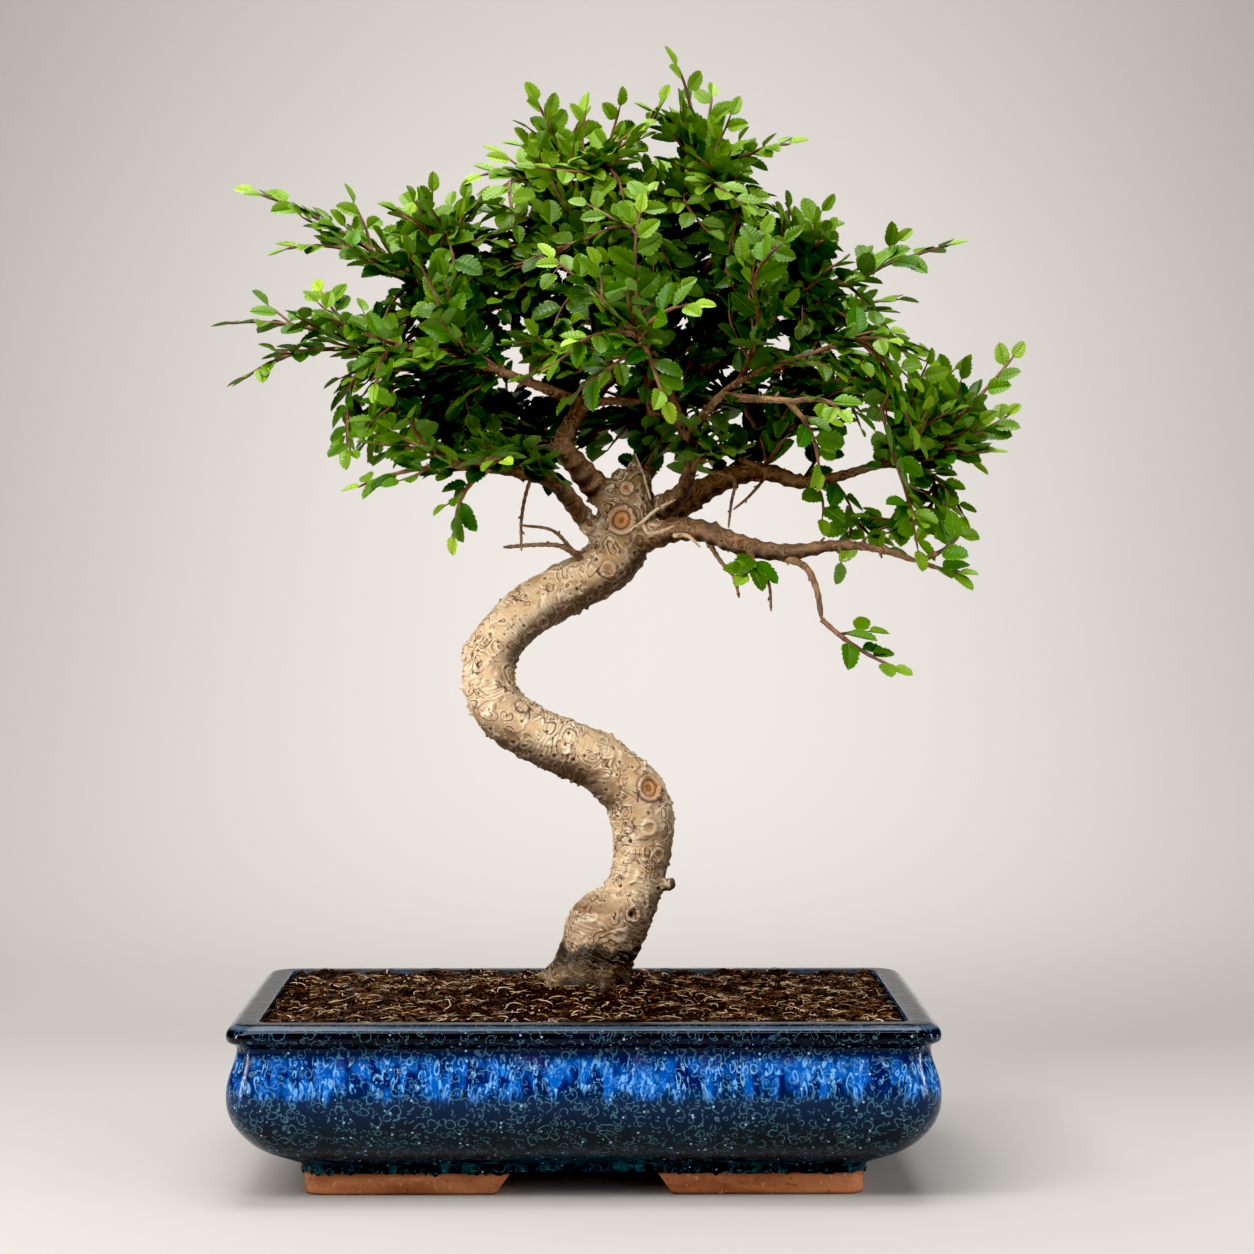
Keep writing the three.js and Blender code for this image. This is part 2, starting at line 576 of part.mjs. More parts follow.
// A toothed blade, folded a little up along its rib; along, across and normal are its own axes
function leafGeometry(foot, along, across, normal, length, width) {
  const at = (u, v, w) => foot.clone().addScaledVector(along, u).addScaledVector(across, v)
    .addScaledVector(normal, w);
  const rim = [at(0, 0, 0)];
  const fold = (v) => LEAF_FOLD * Math.abs(v) - LEAF_RIB * RIM_UNDER;
  const droop = (u) => -LEAF_DROOP * length * (u / length) ** 2;
  LEAF_OUTLINE.forEach(([u, v]) => {
    const half = v * width / 2;
    rim.push(at(u * length, -half, fold(half) + droop(u * length)));
  });
  rim.push(at(length, 0, droop(length)));
  [...LEAF_OUTLINE].reverse().forEach(([u, v]) => {
    const half = v * width / 2;
    rim.push(at(u * length, half, fold(half) + droop(u * length)));
  });
  const ribPlace = 0.5 * length;
  const top = at(ribPlace, 0, droop(ribPlace) + LEAF_RIB * RIB_OVER);
  const under = at(ribPlace, 0, droop(ribPlace) - LEAF_RIB * (1 - RIB_OVER));
  const points = [...rim, top, under];
  const index = [];
  for (let i = 0; i < rim.length; i += 1) {
    const next = (i + 1) % rim.length;
    index.push(i, next, rim.length);
    index.push(next, i, rim.length + 1);
  }
  return meshOf(points, index);
}

// The side ways at a place on a twig: across it, level to the light, and over it, towards the light
function sideWays(curve, t, lightSwayX, lightSwayY) {
  const ahead = curve.getTangentAt(t);
  const foot = curve.getPointAt(t);
  const light = vec(foot.x * 0.004, foot.y * 0.006 - 0.5, 1).normalize();
  light.x += lightSwayX;
  light.y += lightSwayY;
  const across = ahead.clone().cross(light).normalize();
  const over = across.clone().cross(ahead).normalize();
  return { foot, ahead, across, over };
}

// The axes of one leaf: alternate sides of the twig, faces turned up and out to the light
function leafPose(curve, t, spray, leaf, attempt) {
  const swayX = LIGHT_SWAY * sway(spray, leaf, 11 + attempt);
  const swayY = LIGHT_SWAY * sway(spray, leaf, 31 + attempt);
  const { foot, ahead, across, over } = sideWays(curve, t, swayX, swayY);
  const isLast = t > 0.995;
  foot.addScaledVector(ahead, isLast ? -ROOT_SINK : 0);
  const side = leaf % 2 === 0 ? 1 : -1;
  const sideOpen = side * (LEAF_OPEN + LEAF_OPEN_SWAY * sway(spray, leaf, 51 + attempt));
  const open = isLast ? 0.2 * sway(spray, leaf, 5) : sideOpen;
  const along = ahead.clone().multiplyScalar(Math.cos(open)).addScaledVector(across, Math.sin(open));
  along.addScaledVector(over, LEAF_LIFT + LEAF_LIFT_SWAY * sway(spray, leaf, 71 + attempt)).normalize();
  const blade = over.clone().cross(along).normalize();
  const face = along.clone().cross(blade).normalize();
  return { foot, along, across: blade, normal: face };
}

// The boxes of two solids keep clear of each other
function boxesApart(a, b) {
  for (let axis = 0; axis < 3; axis += 1) {
    if (a.max[axis] < b.min[axis] || b.max[axis] < a.min[axis]) return true;
  }
  return false;
}

function crosses(shape, others) {
  const box = shape.boundingBox();
  return others.some((other) => !boxesApart(box, other.box) && !shape.intersect(other.shape).isEmpty());
}

// A twig's line runs straight from joint to joint, so that leaves set on it meet its few-sided tube
function jointed(curve, joints) {
  const points = curve.getSpacedPoints(joints);
  const line = new THREE.CurvePath();
  points.slice(1).forEach((point, i) => line.add(new THREE.LineCurve3(points[i], point)));
  return line;
}

// A spray's twig, thinning to its tip, with the line that its leaves follow
function twigOf(route, number) {
  const curve = jointed(stretch(route.curve, route.start, 1, TWIG_JOINTS), TWIG_JOINTS);
  const shape = solid(tube(curve, TWIG_JOINTS, 3, (t) => mix(TWIG_RADIUS, TWIG_TIP_RADIUS, t)));
  const count = Math.max(3, Math.round(curve.getLength() / LEAF_PITCH) + 1);
  return { number, curve, shape, count, first: FIRST_LEAF, box: shape.boundingBox(), leaves: [] };
}

// A side shoot of a forked spray, out of its twig at a share of its length, on alternate sides
function shootOf(twig, place, attempt) {
  const number = FORKED_SPRAYS * twig.number + place;
  const { foot, ahead, across, over } = sideWays(twig.curve, SHOOT_SHARES[place], 0, 0);
  const side = place % 2 === 0 ? 1 : -1;
  const open = side * (SHOOT_OPEN + SHOOT_OPEN_SWAY * sway(number, attempt, 91));
  const way = ahead.clone().multiplyScalar(Math.cos(open)).addScaledVector(across, Math.sin(open));
  way.addScaledVector(over, SHOOT_RISE * sway(number, attempt, 92)).normalize();
  const knee = foot.clone().addScaledVector(way, SHOOT_LENGTH / 2);
  const bowed = way.clone().addScaledVector(ahead, SHOOT_BOW).normalize();
  const end = foot.clone().addScaledVector(bowed, SHOOT_LENGTH);
  const curve = jointed(new THREE.QuadraticBezierCurve3(foot, knee, end), SHOOT_JOINTS);
  const shape = solid(tube(curve, SHOOT_JOINTS, 3, (t) => mix(SHOOT_RADIUS, TWIG_TIP_RADIUS, t)));
  const box = shape.boundingBox();
  return { number, curve, shape, count: SHOOT_LEAVES, first: FIRST_SHOOT_LEAF, box, leaves: [] };
}

// A forked spray's side shoots, each in the first way out that keeps clear of all other wood
function shootsOf(twig, wood) {
  const shoots = [];
  SHOOT_SHARES.forEach((share, place) => {
    for (let attempt = 0; attempt < ROUTE_TRIES; attempt += 1) {
      const shoot = shootOf(twig, place, attempt);
      if (!crosses(shoot.shape, [...wood, ...shoots].filter((other) => other !== twig))) {
        shoots.push(shoot);
        return;
      }
    }
  });
  return shoots;
}

// One leaf in the first pose that keeps clear of all that stands, but for the twig it grows from
function growLeaf(twig, leaf, standing) {
  const t = Math.min(1, twig.first + (1 - twig.first) * leaf / (twig.count - 1));
  const young = 1 - LEAF_SHRINK * t * t;
  const length = LEAF_LENGTH * young * (1 + LEAF_SIZE_SWAY * sway(twig.number, leaf, 3));
  const width = LEAF_WIDTH * young * (1 + LEAF_SIZE_SWAY * sway(twig.number, leaf, 4));
  for (let attempt = 0; attempt < LEAF_TRIES; attempt += 1) {
    const pose = leafPose(twig.curve, t, twig.number, leaf, attempt);
    const shape = solid(leafGeometry(pose.foot, pose.along, pose.across, pose.normal, length, width));
    if (!crosses(shape, standing.filter((other) => other !== twig))) {
      twig.leaves.push(shape);
      standing.push({ shape, box: shape.boundingBox() });
      return;
    }
  }
}

// Assembly: the pot and what fills it, then the tree
const model = new THREE.Group();

function addPiece(name, geometry, material) {
  const mesh = new THREE.Mesh(geometry, material);
  mesh.name = name;
  model.add(mesh);
  return mesh;
}

addPiece('pot', geometryOf(potSolid()), FIRED_GLAZE);

const screenPlaces = [new THREE.Vector2(POT_X - DRAIN_X, 0), new THREE.Vector2(POT_X + DRAIN_X, 0)];
screenPlaces.forEach((place, i) => {
  const name = i === 0 ? 'screen_left' : 'screen_right';
  const screen = addPiece(name, geometryOf(screenSolid()), SCREEN_PLASTIC);
  screen.position.set(place.x, place.y, FLOOR_TOP + GAP + SCREEN_THICKNESS / 2);
});

addPiece('soil', geometryOf(soilSolid(screenPlaces)), SOIL_EARTH);

const routes = sprayRoutes();
const wood = [trunkTube(), trunkFoot(0)];
Object.values(LIMBS).forEach((rows) => wood.push(limbTube(rows, LIMB_SIDES)));
BARE.forEach((rows) => wood.push(limbTube(rows, 3)));
KNOTS.forEach((row) => wood.push(knotGeometry(row)));
routes.forEach((route) => wood.push(branchGeometry(route)));
const trunk = fuse(wood.map((geometry) => solid(geometry)));
addPiece('trunk', geometryOf(trunk), BARK);

const twigs = routes.map((route, number) => twigOf(route, number));
const standing = [{ shape: trunk, box: trunk.boundingBox() }, ...twigs];
twigs.forEach((twig) => {
  const isForked = twig.number >= SPRAY_TIPS.length - FORKED_SPRAYS;
  twig.shoots = isForked ? shootsOf(twig, standing) : [];
  standing.push(...twig.shoots);
});
twigs.forEach((twig) => {
  const stems = [twig, ...twig.shoots];
  stems.forEach((stem) => {
    for (let leaf = 0; leaf < stem.count; leaf += 1) growLeaf(stem, leaf, standing);
  });
  const name = `spray_${String(twig.number + 1).padStart(2, '0')}`;
  const parts = stems.flatMap((stem) => [stem.shape, ...stem.leaves]);
  addPiece(name, geometryOf(fuse(parts)), LEAF_GREEN);
});

// The origin lies on the floor under the middle of the whole object
const reach = new THREE.Box3().setFromObject(model);
const middle = reach.getCenter(vec(0, 0, 0));
model.position.set(-middle.x, -middle.y, -reach.min.z);

const bonsai = new THREE.Group();
bonsai.add(model);

export default bonsai;
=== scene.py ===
"""A Chinese elm bonsai in a glazed pot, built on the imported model's frame, in metres."""

import math

import bpy
import numpy as np
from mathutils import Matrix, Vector, noise
from mathutils.kdtree import KDTree


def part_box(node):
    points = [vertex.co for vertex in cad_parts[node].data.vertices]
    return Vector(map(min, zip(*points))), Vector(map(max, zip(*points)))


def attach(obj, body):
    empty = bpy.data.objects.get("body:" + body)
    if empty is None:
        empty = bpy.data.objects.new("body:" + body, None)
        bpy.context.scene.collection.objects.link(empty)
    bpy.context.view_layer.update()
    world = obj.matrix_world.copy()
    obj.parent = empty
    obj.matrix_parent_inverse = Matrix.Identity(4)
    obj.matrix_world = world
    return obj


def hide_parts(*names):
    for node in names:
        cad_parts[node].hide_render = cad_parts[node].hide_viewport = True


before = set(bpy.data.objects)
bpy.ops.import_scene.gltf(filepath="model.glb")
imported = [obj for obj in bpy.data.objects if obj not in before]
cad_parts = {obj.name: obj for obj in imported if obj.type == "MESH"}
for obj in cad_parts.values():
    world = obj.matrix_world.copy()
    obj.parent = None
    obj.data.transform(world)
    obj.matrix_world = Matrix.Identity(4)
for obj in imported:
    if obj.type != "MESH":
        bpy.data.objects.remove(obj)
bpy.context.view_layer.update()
bpy.ops.object.select_all(action="DESELECT")

# Camera: a long lens in front of the tree, a little above the middle of the trunk, tipped slightly down.
# Places on the tree are in millimetres from the tree's own origin, and in_frame turns them to frame places.
MM = 0.001
POT_X = -0.8
pot_low, pot_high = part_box("pot")
TREE_ORIGIN = np.array([(pot_low.x + pot_high.x) / 2 / MM - POT_X, (pot_low.y + pot_high.y) / 2 / MM, 0.0])
CAMERA_PLACE = (0, -1381, 242)
CAMERA_DOWN = math.radians(1.31)
CAMERA_RIGHT = math.radians(0.66)
LENS_MM = 101.7
SENSOR_MM = 36
CLIP_NEAR = 0.05
CLIP_FAR = 20


def in_frame(points):
    """Tree places in millimetres as frame places in metres."""
    return (np.asarray(points, float) + TREE_ORIGIN) * MM


bpy.ops.object.camera_add(
    location=in_frame(CAMERA_PLACE), rotation=(math.pi / 2 - CAMERA_DOWN, 0, -CAMERA_RIGHT)
)
camera = bpy.context.object
camera.data.lens = LENS_MM
camera.data.sensor_width = SENSOR_MM
camera.data.clip_start = CLIP_NEAR
camera.data.clip_end = CLIP_FAR
bpy.context.scene.camera = camera

# Studio: a pale paper sweep that runs back and curves up behind the pot.
# It is lit apart from the tree, so that it falls off softly towards the corners of the picture.
SWEEP_WIDTH = 5.0
SWEEP_FRONT = -2.2
SWEEP_BACK = 0.65
SWEEP_RADIUS = 1.0
SWEEP_HEIGHT = 3.0
SWEEP_STEPS = 24
# One pale paper with painted light and shade on top of the lamps' light: brighter on the floor in front and
# higher up the wall, darker on the floor behind and low on the wall.
PAPER_FRONT_PAINTED_LIGHT = (197, 192, 188)
PAPER_LOW_PAINTED_SHADE = (185, 180, 176)
PAPER_HIGH_PAINTED_LIGHT = (193, 188, 184)
AIR_COLOUR = (1, 0.99, 0.98, 1)
AIR_STRENGTH = 0.12
BLACK_LEVEL = 0.0125
# Softboxes: place, target, width and height in millimetres, watts, colour, and the light's spread in degrees
LIGHTS = {
    "key_box": ((-650, -800, 1200), (0, 0, 230), (900, 900), 13, (1, 0.98, 0.95), 180),
    "top_box": ((0, 50, 1250), (0, 0, 250), (900, 800), 13.5, (1, 1, 1), 180),
    "front_box": ((0, -1150, 1350), (0, -300, 0), (900, 200), 3.4, (1, 1, 1), 180),
    "trunk_box": ((-480, -560, 600), (-5, 0, 190), (120, 120), 0.11, (1, 0.96, 0.9), 34),
    "fill_box": ((1100, -1000, 450), (0, 0, 220), (900, 900), 1.3, (0.97, 0.985, 1), 180),
    "left_strip": ((-900, -350, 220), (-120, -60, 50), (36, 420), 2.8, (1, 1, 1), 180),
    "right_strip": ((900, -350, 220), (120, -60, 50), (36, 420), 2.6, (1, 1, 1), 180),
    "sweep_light": ((60, 700, 720), (60, 1650, 280), (600, 200), 6.7, (1, 1, 1), 180),
}


class Wire:
    """One output of a material's node, so that shader maths reads as plain sums."""

    def __init__(self, tree, socket=None):
        self.tree = tree
        self.socket = socket

    def node(self, kind, settings=None, inputs=None, output=0):
        """Adds a node of this kind: its settings first, then the values or wires of its inputs."""
        made = self.tree.nodes.new(kind)
        for name, value in (settings or {}).items():
            setattr(made, name, value)
        for name, value in (inputs or {}).items():
            if isinstance(value, Wire):
                self.tree.links.new(value.socket, made.inputs[name])
            else:
                made.inputs[name].default_value = value
        return Wire(self.tree, made.outputs[output])

    def maths(self, operation, *values):
        return self.node("ShaderNodeMath", {"operation": operation}, dict(enumerate(values)))

    def __add__(self, other):
        return self.maths("ADD", self, other)

    def __sub__(self, other):
        return self.maths("SUBTRACT", self, other)

    def __rsub__(self, other):
        return self.maths("SUBTRACT", other, self)

    def __mul__(self, other):
        return self.maths("MULTIPLY", self, other)

    def __abs__(self):
        return self.maths("ABSOLUTE", self)

    __radd__ = __add__
    __rmul__ = __mul__

    def sine(self):
        return self.maths("SINE", self)

    def rise(self, low, high):
        """0 below low and 1 above high, eased between them; a high under low makes it fall."""
        return self.node(
            "ShaderNodeMapRange", {"interpolation_type": "SMOOTHSTEP"},
            {"Value": self, "From Min": low, "From Max": high},
        )

    def stretch(self, scale):
        """These coordinates with each axis scaled."""
        return self.node("ShaderNodeVectorMath", {"operation": "MULTIPLY"}, {0: self, 1: scale})

    def grain(self, scale, detail=2.0, roughness=0.5, distortion=0.0):
        """Perlin noise from 0 to 1 over these coordinates."""
        return self.node("ShaderNodeTexNoise", {}, {
            "Vector": self, "Scale": scale, "Detail": detail, "Roughness": roughness,
            "Distortion": distortion,
        })

    def shaken(self, scale, amount):
        """These coordinates moved about by noise, so that what is drawn on them curls."""
        settings = {"Vector": self, "Scale": scale, "Detail": 1.0}
        drift = self.node("ShaderNodeTexNoise", {}, settings, output=1)
        return self.node("ShaderNodeMix", {"data_type": "VECTOR"}, {0: amount, 4: self, 5: drift}, output=1)

    def outputs(self, kind):
        """Every output of a node of this kind that takes this wire."""
        made = self.node(kind, {}, {0: self})
        return [Wire(self.tree, socket) for socket in made.socket.node.outputs]

    def cells(self, scale):
        """The distance from the nearest of scattered points, in their spacings, and that point's chance."""
        away = self.node("ShaderNodeTexVoronoi", {"feature": "F1"}, {"Vector": self, "Scale": scale})
        colour = Wire(self.tree, away.socket.node.outputs[1])
        return away, colour.outputs("ShaderNodeSeparateColor")[0]

    def axes(self):
        """The x, y and z of these coordinates."""
        return self.outputs("ShaderNodeSeparateXYZ")


class Finish:
    """A material: its shader's own constants, and wires for what changes over the surface."""

    def __init__(self, name, **constants):
        self.material = bpy.data.materials.new(name)
        self.material.use_nodes = True
        self.tree = self.material.node_tree
        self.shader = self.tree.nodes["Principled BSDF"]
        for socket, value in constants.items():
            self.shader.inputs[socket.replace("_", " ")].default_value = value
        self.place = Wire(self.tree).node("ShaderNodeTexCoord", output="Object")

    def height(self):
        """The height over the floor in millimetres."""
        return self.place.axes()[2] * (1 / MM)

    def mark(self, name, output=2):
        """A value that the mesh keeps for each of its points, under this name."""
        return self.place.node("ShaderNodeAttribute", {"attribute_name": name}, output=output)

    def mix(self, share, first, second):
        """The second colour laid over the first by this share, each a wire or 0 to 255 on a screen."""
        inputs = {0: share}
        for socket, colour in ((6, first), (7, second)):
            inputs[socket] = colour if isinstance(colour, Wire) else (*from_srgb(*colour), 1)
        return self.place.node("ShaderNodeMix", {"data_type": "RGBA"}, inputs, output=2)

    def feed(self, **wires):
        for socket, wire in wires.items():
            self.tree.links.new(wire.socket, self.shader.inputs[socket.replace("_", " ")])

    def bump(self, height, distance):
        """Raises the surface by the height's wire, in metres of distance."""
        self.feed(Normal=self.place.node("ShaderNodeBump", {}, {"Height": height, "Distance": distance}))


def from_srgb(*colour):
    """A colour read as 0 to 255 on a screen, as the linear values that a shader takes."""
    return [
        part / 255 / 12.92 if part <= 10 else ((part / 255 + 0.055) / 1.055) ** 2.4 for part in colour
    ]


def paper_finish():
    paper = Finish("studio_paper", Roughness=0.9)
    _, depth, height = paper.place.axes()
    # Painted light and shade: the wall lightens upwards, and the floor in front is painted brighter still.
    wall = paper.mix(height.rise(0.1, 0.5), PAPER_LOW_PAINTED_SHADE, PAPER_HIGH_PAINTED_LIGHT)
    paper.feed(Base_Color=paper.mix(depth.rise(0.35, -0.1), wall, PAPER_FRONT_PAINTED_LIGHT))
    return paper.material


def settle():
    """Puts the selected objects' places, turns and scales into their meshes."""
    bpy.ops.object.transform_apply(location=True, rotation=True, scale=True)


def choose(obj, chosen):
    """Goes from object mode into edit mode, with only the vertices selected for which the test holds."""
    bpy.ops.object.mode_set(mode="EDIT")
    bpy.ops.mesh.select_mode(type="VERT")
    bpy.ops.mesh.select_all(action="DESELECT")
    bpy.ops.object.mode_set(mode="OBJECT")
    for vertex in obj.data.vertices:
        vertex.select = chosen(vertex)
    bpy.ops.object.mode_set(mode="EDIT")


def edit(obj, chosen, step, **settings):
    """One operator of edit mode on the vertices for which the test holds, and back to object mode."""
    choose(obj, chosen)
    step(**settings)
    bpy.ops.object.mode_set(mode="OBJECT")


def face_outward(obj):
    edit(obj, lambda vertex: True, bpy.ops.mesh.normals_make_consistent, inside=False)


def move_by(x, y, z):
    """The setting that extrudes by this many millimetres."""
    return {"value": (x * MM, y * MM, z * MM)}


bpy.ops.mesh.primitive_plane_add(size=1, location=(0, (SWEEP_FRONT + SWEEP_BACK) / 2, 0))
sweep = bpy.context.object
sweep.name = "studio_sweep"
sweep.scale = (SWEEP_WIDTH, SWEEP_BACK - SWEEP_FRONT, 1)
settle()
for edge in sweep.data.edges:
    edge.select = all(sweep.data.vertices[index].co.y > 0 for index in edge.vertices)
for vertex in sweep.data.vertices:
    vertex.select = vertex.co.y > 0
bpy.ops.object.mode_set(mode="EDIT")
bpy.ops.mesh.select_mode(type="VERT")
bpy.ops.mesh.spin(
    steps=SWEEP_STEPS, angle=-math.pi / 2, center=(0, SWEEP_BACK, SWEEP_RADIUS), axis=(1, 0, 0)
)
bpy.ops.mesh.extrude_region_move(TRANSFORM_OT_translate={"value": (0, 0, SWEEP_HEIGHT)})
bpy.ops.mesh.select_all(action="SELECT")
bpy.ops.mesh.normals_make_consistent(inside=False)
bpy.ops.object.mode_set(mode="OBJECT")
bpy.ops.object.shade_smooth()
sweep.data.materials.append(paper_finish())

for name, (place, target, size, watts, colour, spread) in LIGHTS.items():
    bpy.ops.object.light_add(type="AREA", location=in_frame(place))
    lamp = bpy.context.object
    lamp.name = name
    lamp.data.shape = "RECTANGLE"
    lamp.data.size = size[0] * MM
    lamp.data.size_y = size[1] * MM
    lamp.data.energy = watts
    lamp.data.color = colour
    lamp.data.spread = math.radians(spread)
    aim = Vector(in_frame(target)) - lamp.location
    lamp.rotation_euler = aim.to_track_quat("-Z", "Y").to_euler()

world = bpy.data.worlds.new("studio_air")
world.use_nodes = True
world.node_tree.nodes["Background"].inputs["Color"].default_value = AIR_COLOUR
world.node_tree.nodes["Background"].inputs["Strength"].default_value = AIR_STRENGTH
bpy.context.scene.world = world
view = bpy.context.scene.view_settings
view.view_transform = "Standard"
view.use_curve_mapping = True
view.curve_mapping.black_level = (BLACK_LEVEL, BLACK_LEVEL, BLACK_LEVEL)
view.curve_mapping.update()

# Pot bowl: one thick wall of stoneware thrown in a mould, glazed inside the lip and all over the outside.
# Its profile runs up the outside from the foot ring, over the lip and down inside.
POT_LENGTH = 265
POT_DEPTH = 185
POT_HEIGHT = 67
FOOT_HEIGHT = 8
FOOT_RING_INSET = 27.7
FOOT_RING_CORNER = 9
FLOOR_TOP = 15
CORNER_SEGMENTS = 6
# Each row of the profile: inset from the belly, height and corner radius
BOWL_PROFILE = [
    (FOOT_RING_INSET + 1.5, FOOT_HEIGHT, 8), (FOOT_RING_INSET, FOOT_HEIGHT + 0.6, 9),
    (FOOT_RING_INSET, 11, 9), (21, 13.9, 10), (14.3, 17, 11), (9.9, 19.9, 12), (6.2, 23.8, 13),
    (3.2, 27.6, 14), (1.4, 31.2, 15),
    (0.3, 34.8, 15), (0, 40, 15), (0.4, 44.1, 15), (1.7, 48.4, 14), (3.6, 53.2, 12), (4.4, 56.4, 11),
    (4.2, 58.6, 10), (1.5, 59.6, 10), (0.8, 60.8, 10), (0.6, 62.6, 10), (1.2, 64.7, 10), (3, 66.1, 10),
    (5.6, POT_HEIGHT, 9), (11.6, POT_HEIGHT, 6), (12.6, 66.4, 6), (13, 65, 6), (13, 58, 6), (9, 48, 8),
    (8, 38, 8), (11, 26, 8), (20, 18, 8), (32, FLOOR_TOP, 8),
]
GLAZE_RELIEF = 0.0006


def apply_modifier(obj, kind, **settings):
    """Adds a modifier with these settings and applies it."""
    bpy.context.view_layer.objects.active = obj
    modifier = obj.modifiers.new(kind.lower(), kind)
    for name, value in settings.items():
        setattr(modifier, name, value)
    bpy.ops.object.modifier_apply(modifier=modifier.name)


def take_over(piece, slot, *nodes):
    """The piece rides on the tree's one body and stands for these nodes, whose parts it hides; the slot is
    not used.
    """
    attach(piece, "root")
    if nodes:
        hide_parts(*nodes)


def add_rounded_rectangle(inset, height, corner):
    """A level loop of edges, in edit mode: a plane whose four corners are bevelled round."""
    half_x = (POT_LENGTH / 2 - inset) * MM
    half_y = (POT_DEPTH / 2 - inset) * MM
    middle = in_frame((POT_X, 0, height))
    bpy.ops.mesh.primitive_plane_add(size=2, location=middle)
    bpy.ops.transform.resize(value=(half_x, half_y, 1), center_override=middle)
    bpy.ops.mesh.bevel(offset=corner * MM, segments=CORNER_SEGMENTS, profile=0.5, affect="VERTICES")
    bpy.ops.mesh.delete(type="ONLY_FACE")


def model_bowl():
    bpy.ops.mesh.primitive_plane_add(size=2)
    bowl = bpy.context.object
    bowl.name = "glazed_bowl"
    bpy.ops.object.mode_set(mode="EDIT")
    bpy.ops.mesh.delete(type="VERT")
    for row in BOWL_PROFILE:
        add_rounded_rectangle(*row)
    bpy.ops.object.mode_set(mode="OBJECT")
    count = len(bowl.data.vertices) // len(BOWL_PROFILE)
    last = (len(BOWL_PROFILE) - 1) * count
    for low in range(0, last, count):
        edit(bowl, lambda vertex: low <= vertex.index < low + 2 * count, bpy.ops.mesh.bridge_edge_loops)
    edit(bowl, lambda vertex: vertex.index < count, bpy.ops.mesh.edge_face_add)
    edit(bowl, lambda vertex: vertex.index >= last, bpy.ops.mesh.edge_face_add)
    face_outward(bowl)
    apply_modifier(bowl, "SUBSURF", levels=2, render_levels=2)
    bpy.ops.object.shade_smooth()
    return bowl


def glaze_finish():
    """Running glaze: near black at the lip, a cobalt band of streaks, then deep teal with curled strokes."""
    glaze = Finish("running_glaze", Specular_IOR_Level=0.28)
    place = glaze.place
    height = glaze.height()
    wander = place.grain(60, 2, 0.6)
    broad = place.stretch((1, 1, 0.25)).grain(210, 3, 0.6, 0.5)
    thin = place.stretch((1, 1, 0.3)).grain(520, 3, 0.7, 1.2)
    ragged = height + (broad - 0.5) * 16 + (thin - 0.5) * 10
    band = ragged.rise(39, 45) * height.rise(56, 52)
    deep = glaze.mix(wander.rise(0.3, 0.7), (2, 13, 20), (5, 28, 39))
    upper = glaze.mix(height.rise(24, 44), deep, (7, 36, 74))
    cobalt = glaze.mix(broad.rise(0.4, 0.6), (5, 32, 90), (22, 92, 188))
    azure = glaze.mix(thin.rise(0.54, 0.66) * broad.rise(0.42, 0.6) * 0.8, cobalt, (86, 166, 250))
    belly = glaze.mix(band, upper, azure)
    plum = height.rise(49, 53) * height.rise(58, 55) * wander.rise(0.45, 0.7)
    belly = glaze.mix(plum * 0.6, belly, (52, 38, 78))
    lip = glaze.mix(wander.rise(0.35, 0.75), (2, 6, 12), (8, 22, 40))
    colour = glaze.mix(height.rise(56, 58.5), belly, lip)
    bent = place.shaken(90, 0.006)
    gaps = place.grain(460, 1, 0.5)
    away, chance = bent.cells(220)
    curls = abs(away - (0.26 + chance * 0.26)).rise(0.056, 0.024) * gaps.rise(0.45, 0.51)
    away, chance = bent.cells(350)
    hooks = abs(away - (0.2 + chance * 0.32)).rise(0.09, 0.04) * gaps.rise(0.51, 0.46)
    away, chance = bent.stretch((1, 1, 0.2)).cells(400)
    wisps = abs(away - (0.2 + chance * 0.3)).rise(0.11, 0.04) * gaps.rise(0.4, 0.48)
    stroke = curls + hooks * 0.8
    faint = height.rise(66, 60) * 0.12 + height.rise(57, 54) * 0.1 + height.rise(16, 36) * 0.13
    colour = glaze.mix(stroke * faint, colour, (116, 178, 206))
    colour = glaze.mix(wisps * band * 0.7, colour, (132, 200, 255))
    away, chance = place.cells(400)
    speck = away.rise(0.21, 0.13) * chance.rise(0.74, 0.76) * height.rise(66, 62)
    colour = glaze.mix(speck * 0.85, colour, (178, 216, 248))
    hem = height.rise(14.5, 12.5)
    colour = glaze.mix(hem * broad.rise(0.5, 0.75) * 0.5, colour, (60, 136, 146))
    # A painted highlight: a pale line along the lip's rounded top edges.
    painted_lip_highlight = height.rise(64.5, 65.4) * height.rise(66.5, 66)
    colour = glaze.mix(painted_lip_highlight * 0.4, colour, (96, 120, 150))
    rough = 0.07 + stroke * 0.1 + broad * 0.05 + height.rise(20, 15) * 0.5 + height.rise(66, 67) * 0.2
    glaze.feed(Base_Color=colour, Roughness=rough)
    rim_top = height.rise(66, 66.8) * place.grain(140, 2, 0.6)
    glaze.bump(wander * 0.5 + stroke * 0.06 + speck * 0.06 + thin * band * 0.12 + rim_top, GLAZE_RELIEF)
    return glaze.material


bowl = model_bowl()
bowl.data.materials.append(glaze_finish())
take_over(bowl, "glaze", "pot")

# Pot feet: four corner feet of the same stoneware, left unglazed, so that the fired clay shows its orange.
# Each is an L of two bars under the foot ring, and its long bar's inner end slopes in towards the floor.
FOOT_BAR = 15
FOOT_LENGTH = 79
FOOT_RETURN = 36
FOOT_SLOPE = 7.5
FOOT_TOP = FOOT_HEIGHT + 2.5
FOOT_CORNER = 8
FOOT_EDGE = 0.9
CLAY_RELIEF = 0.0005


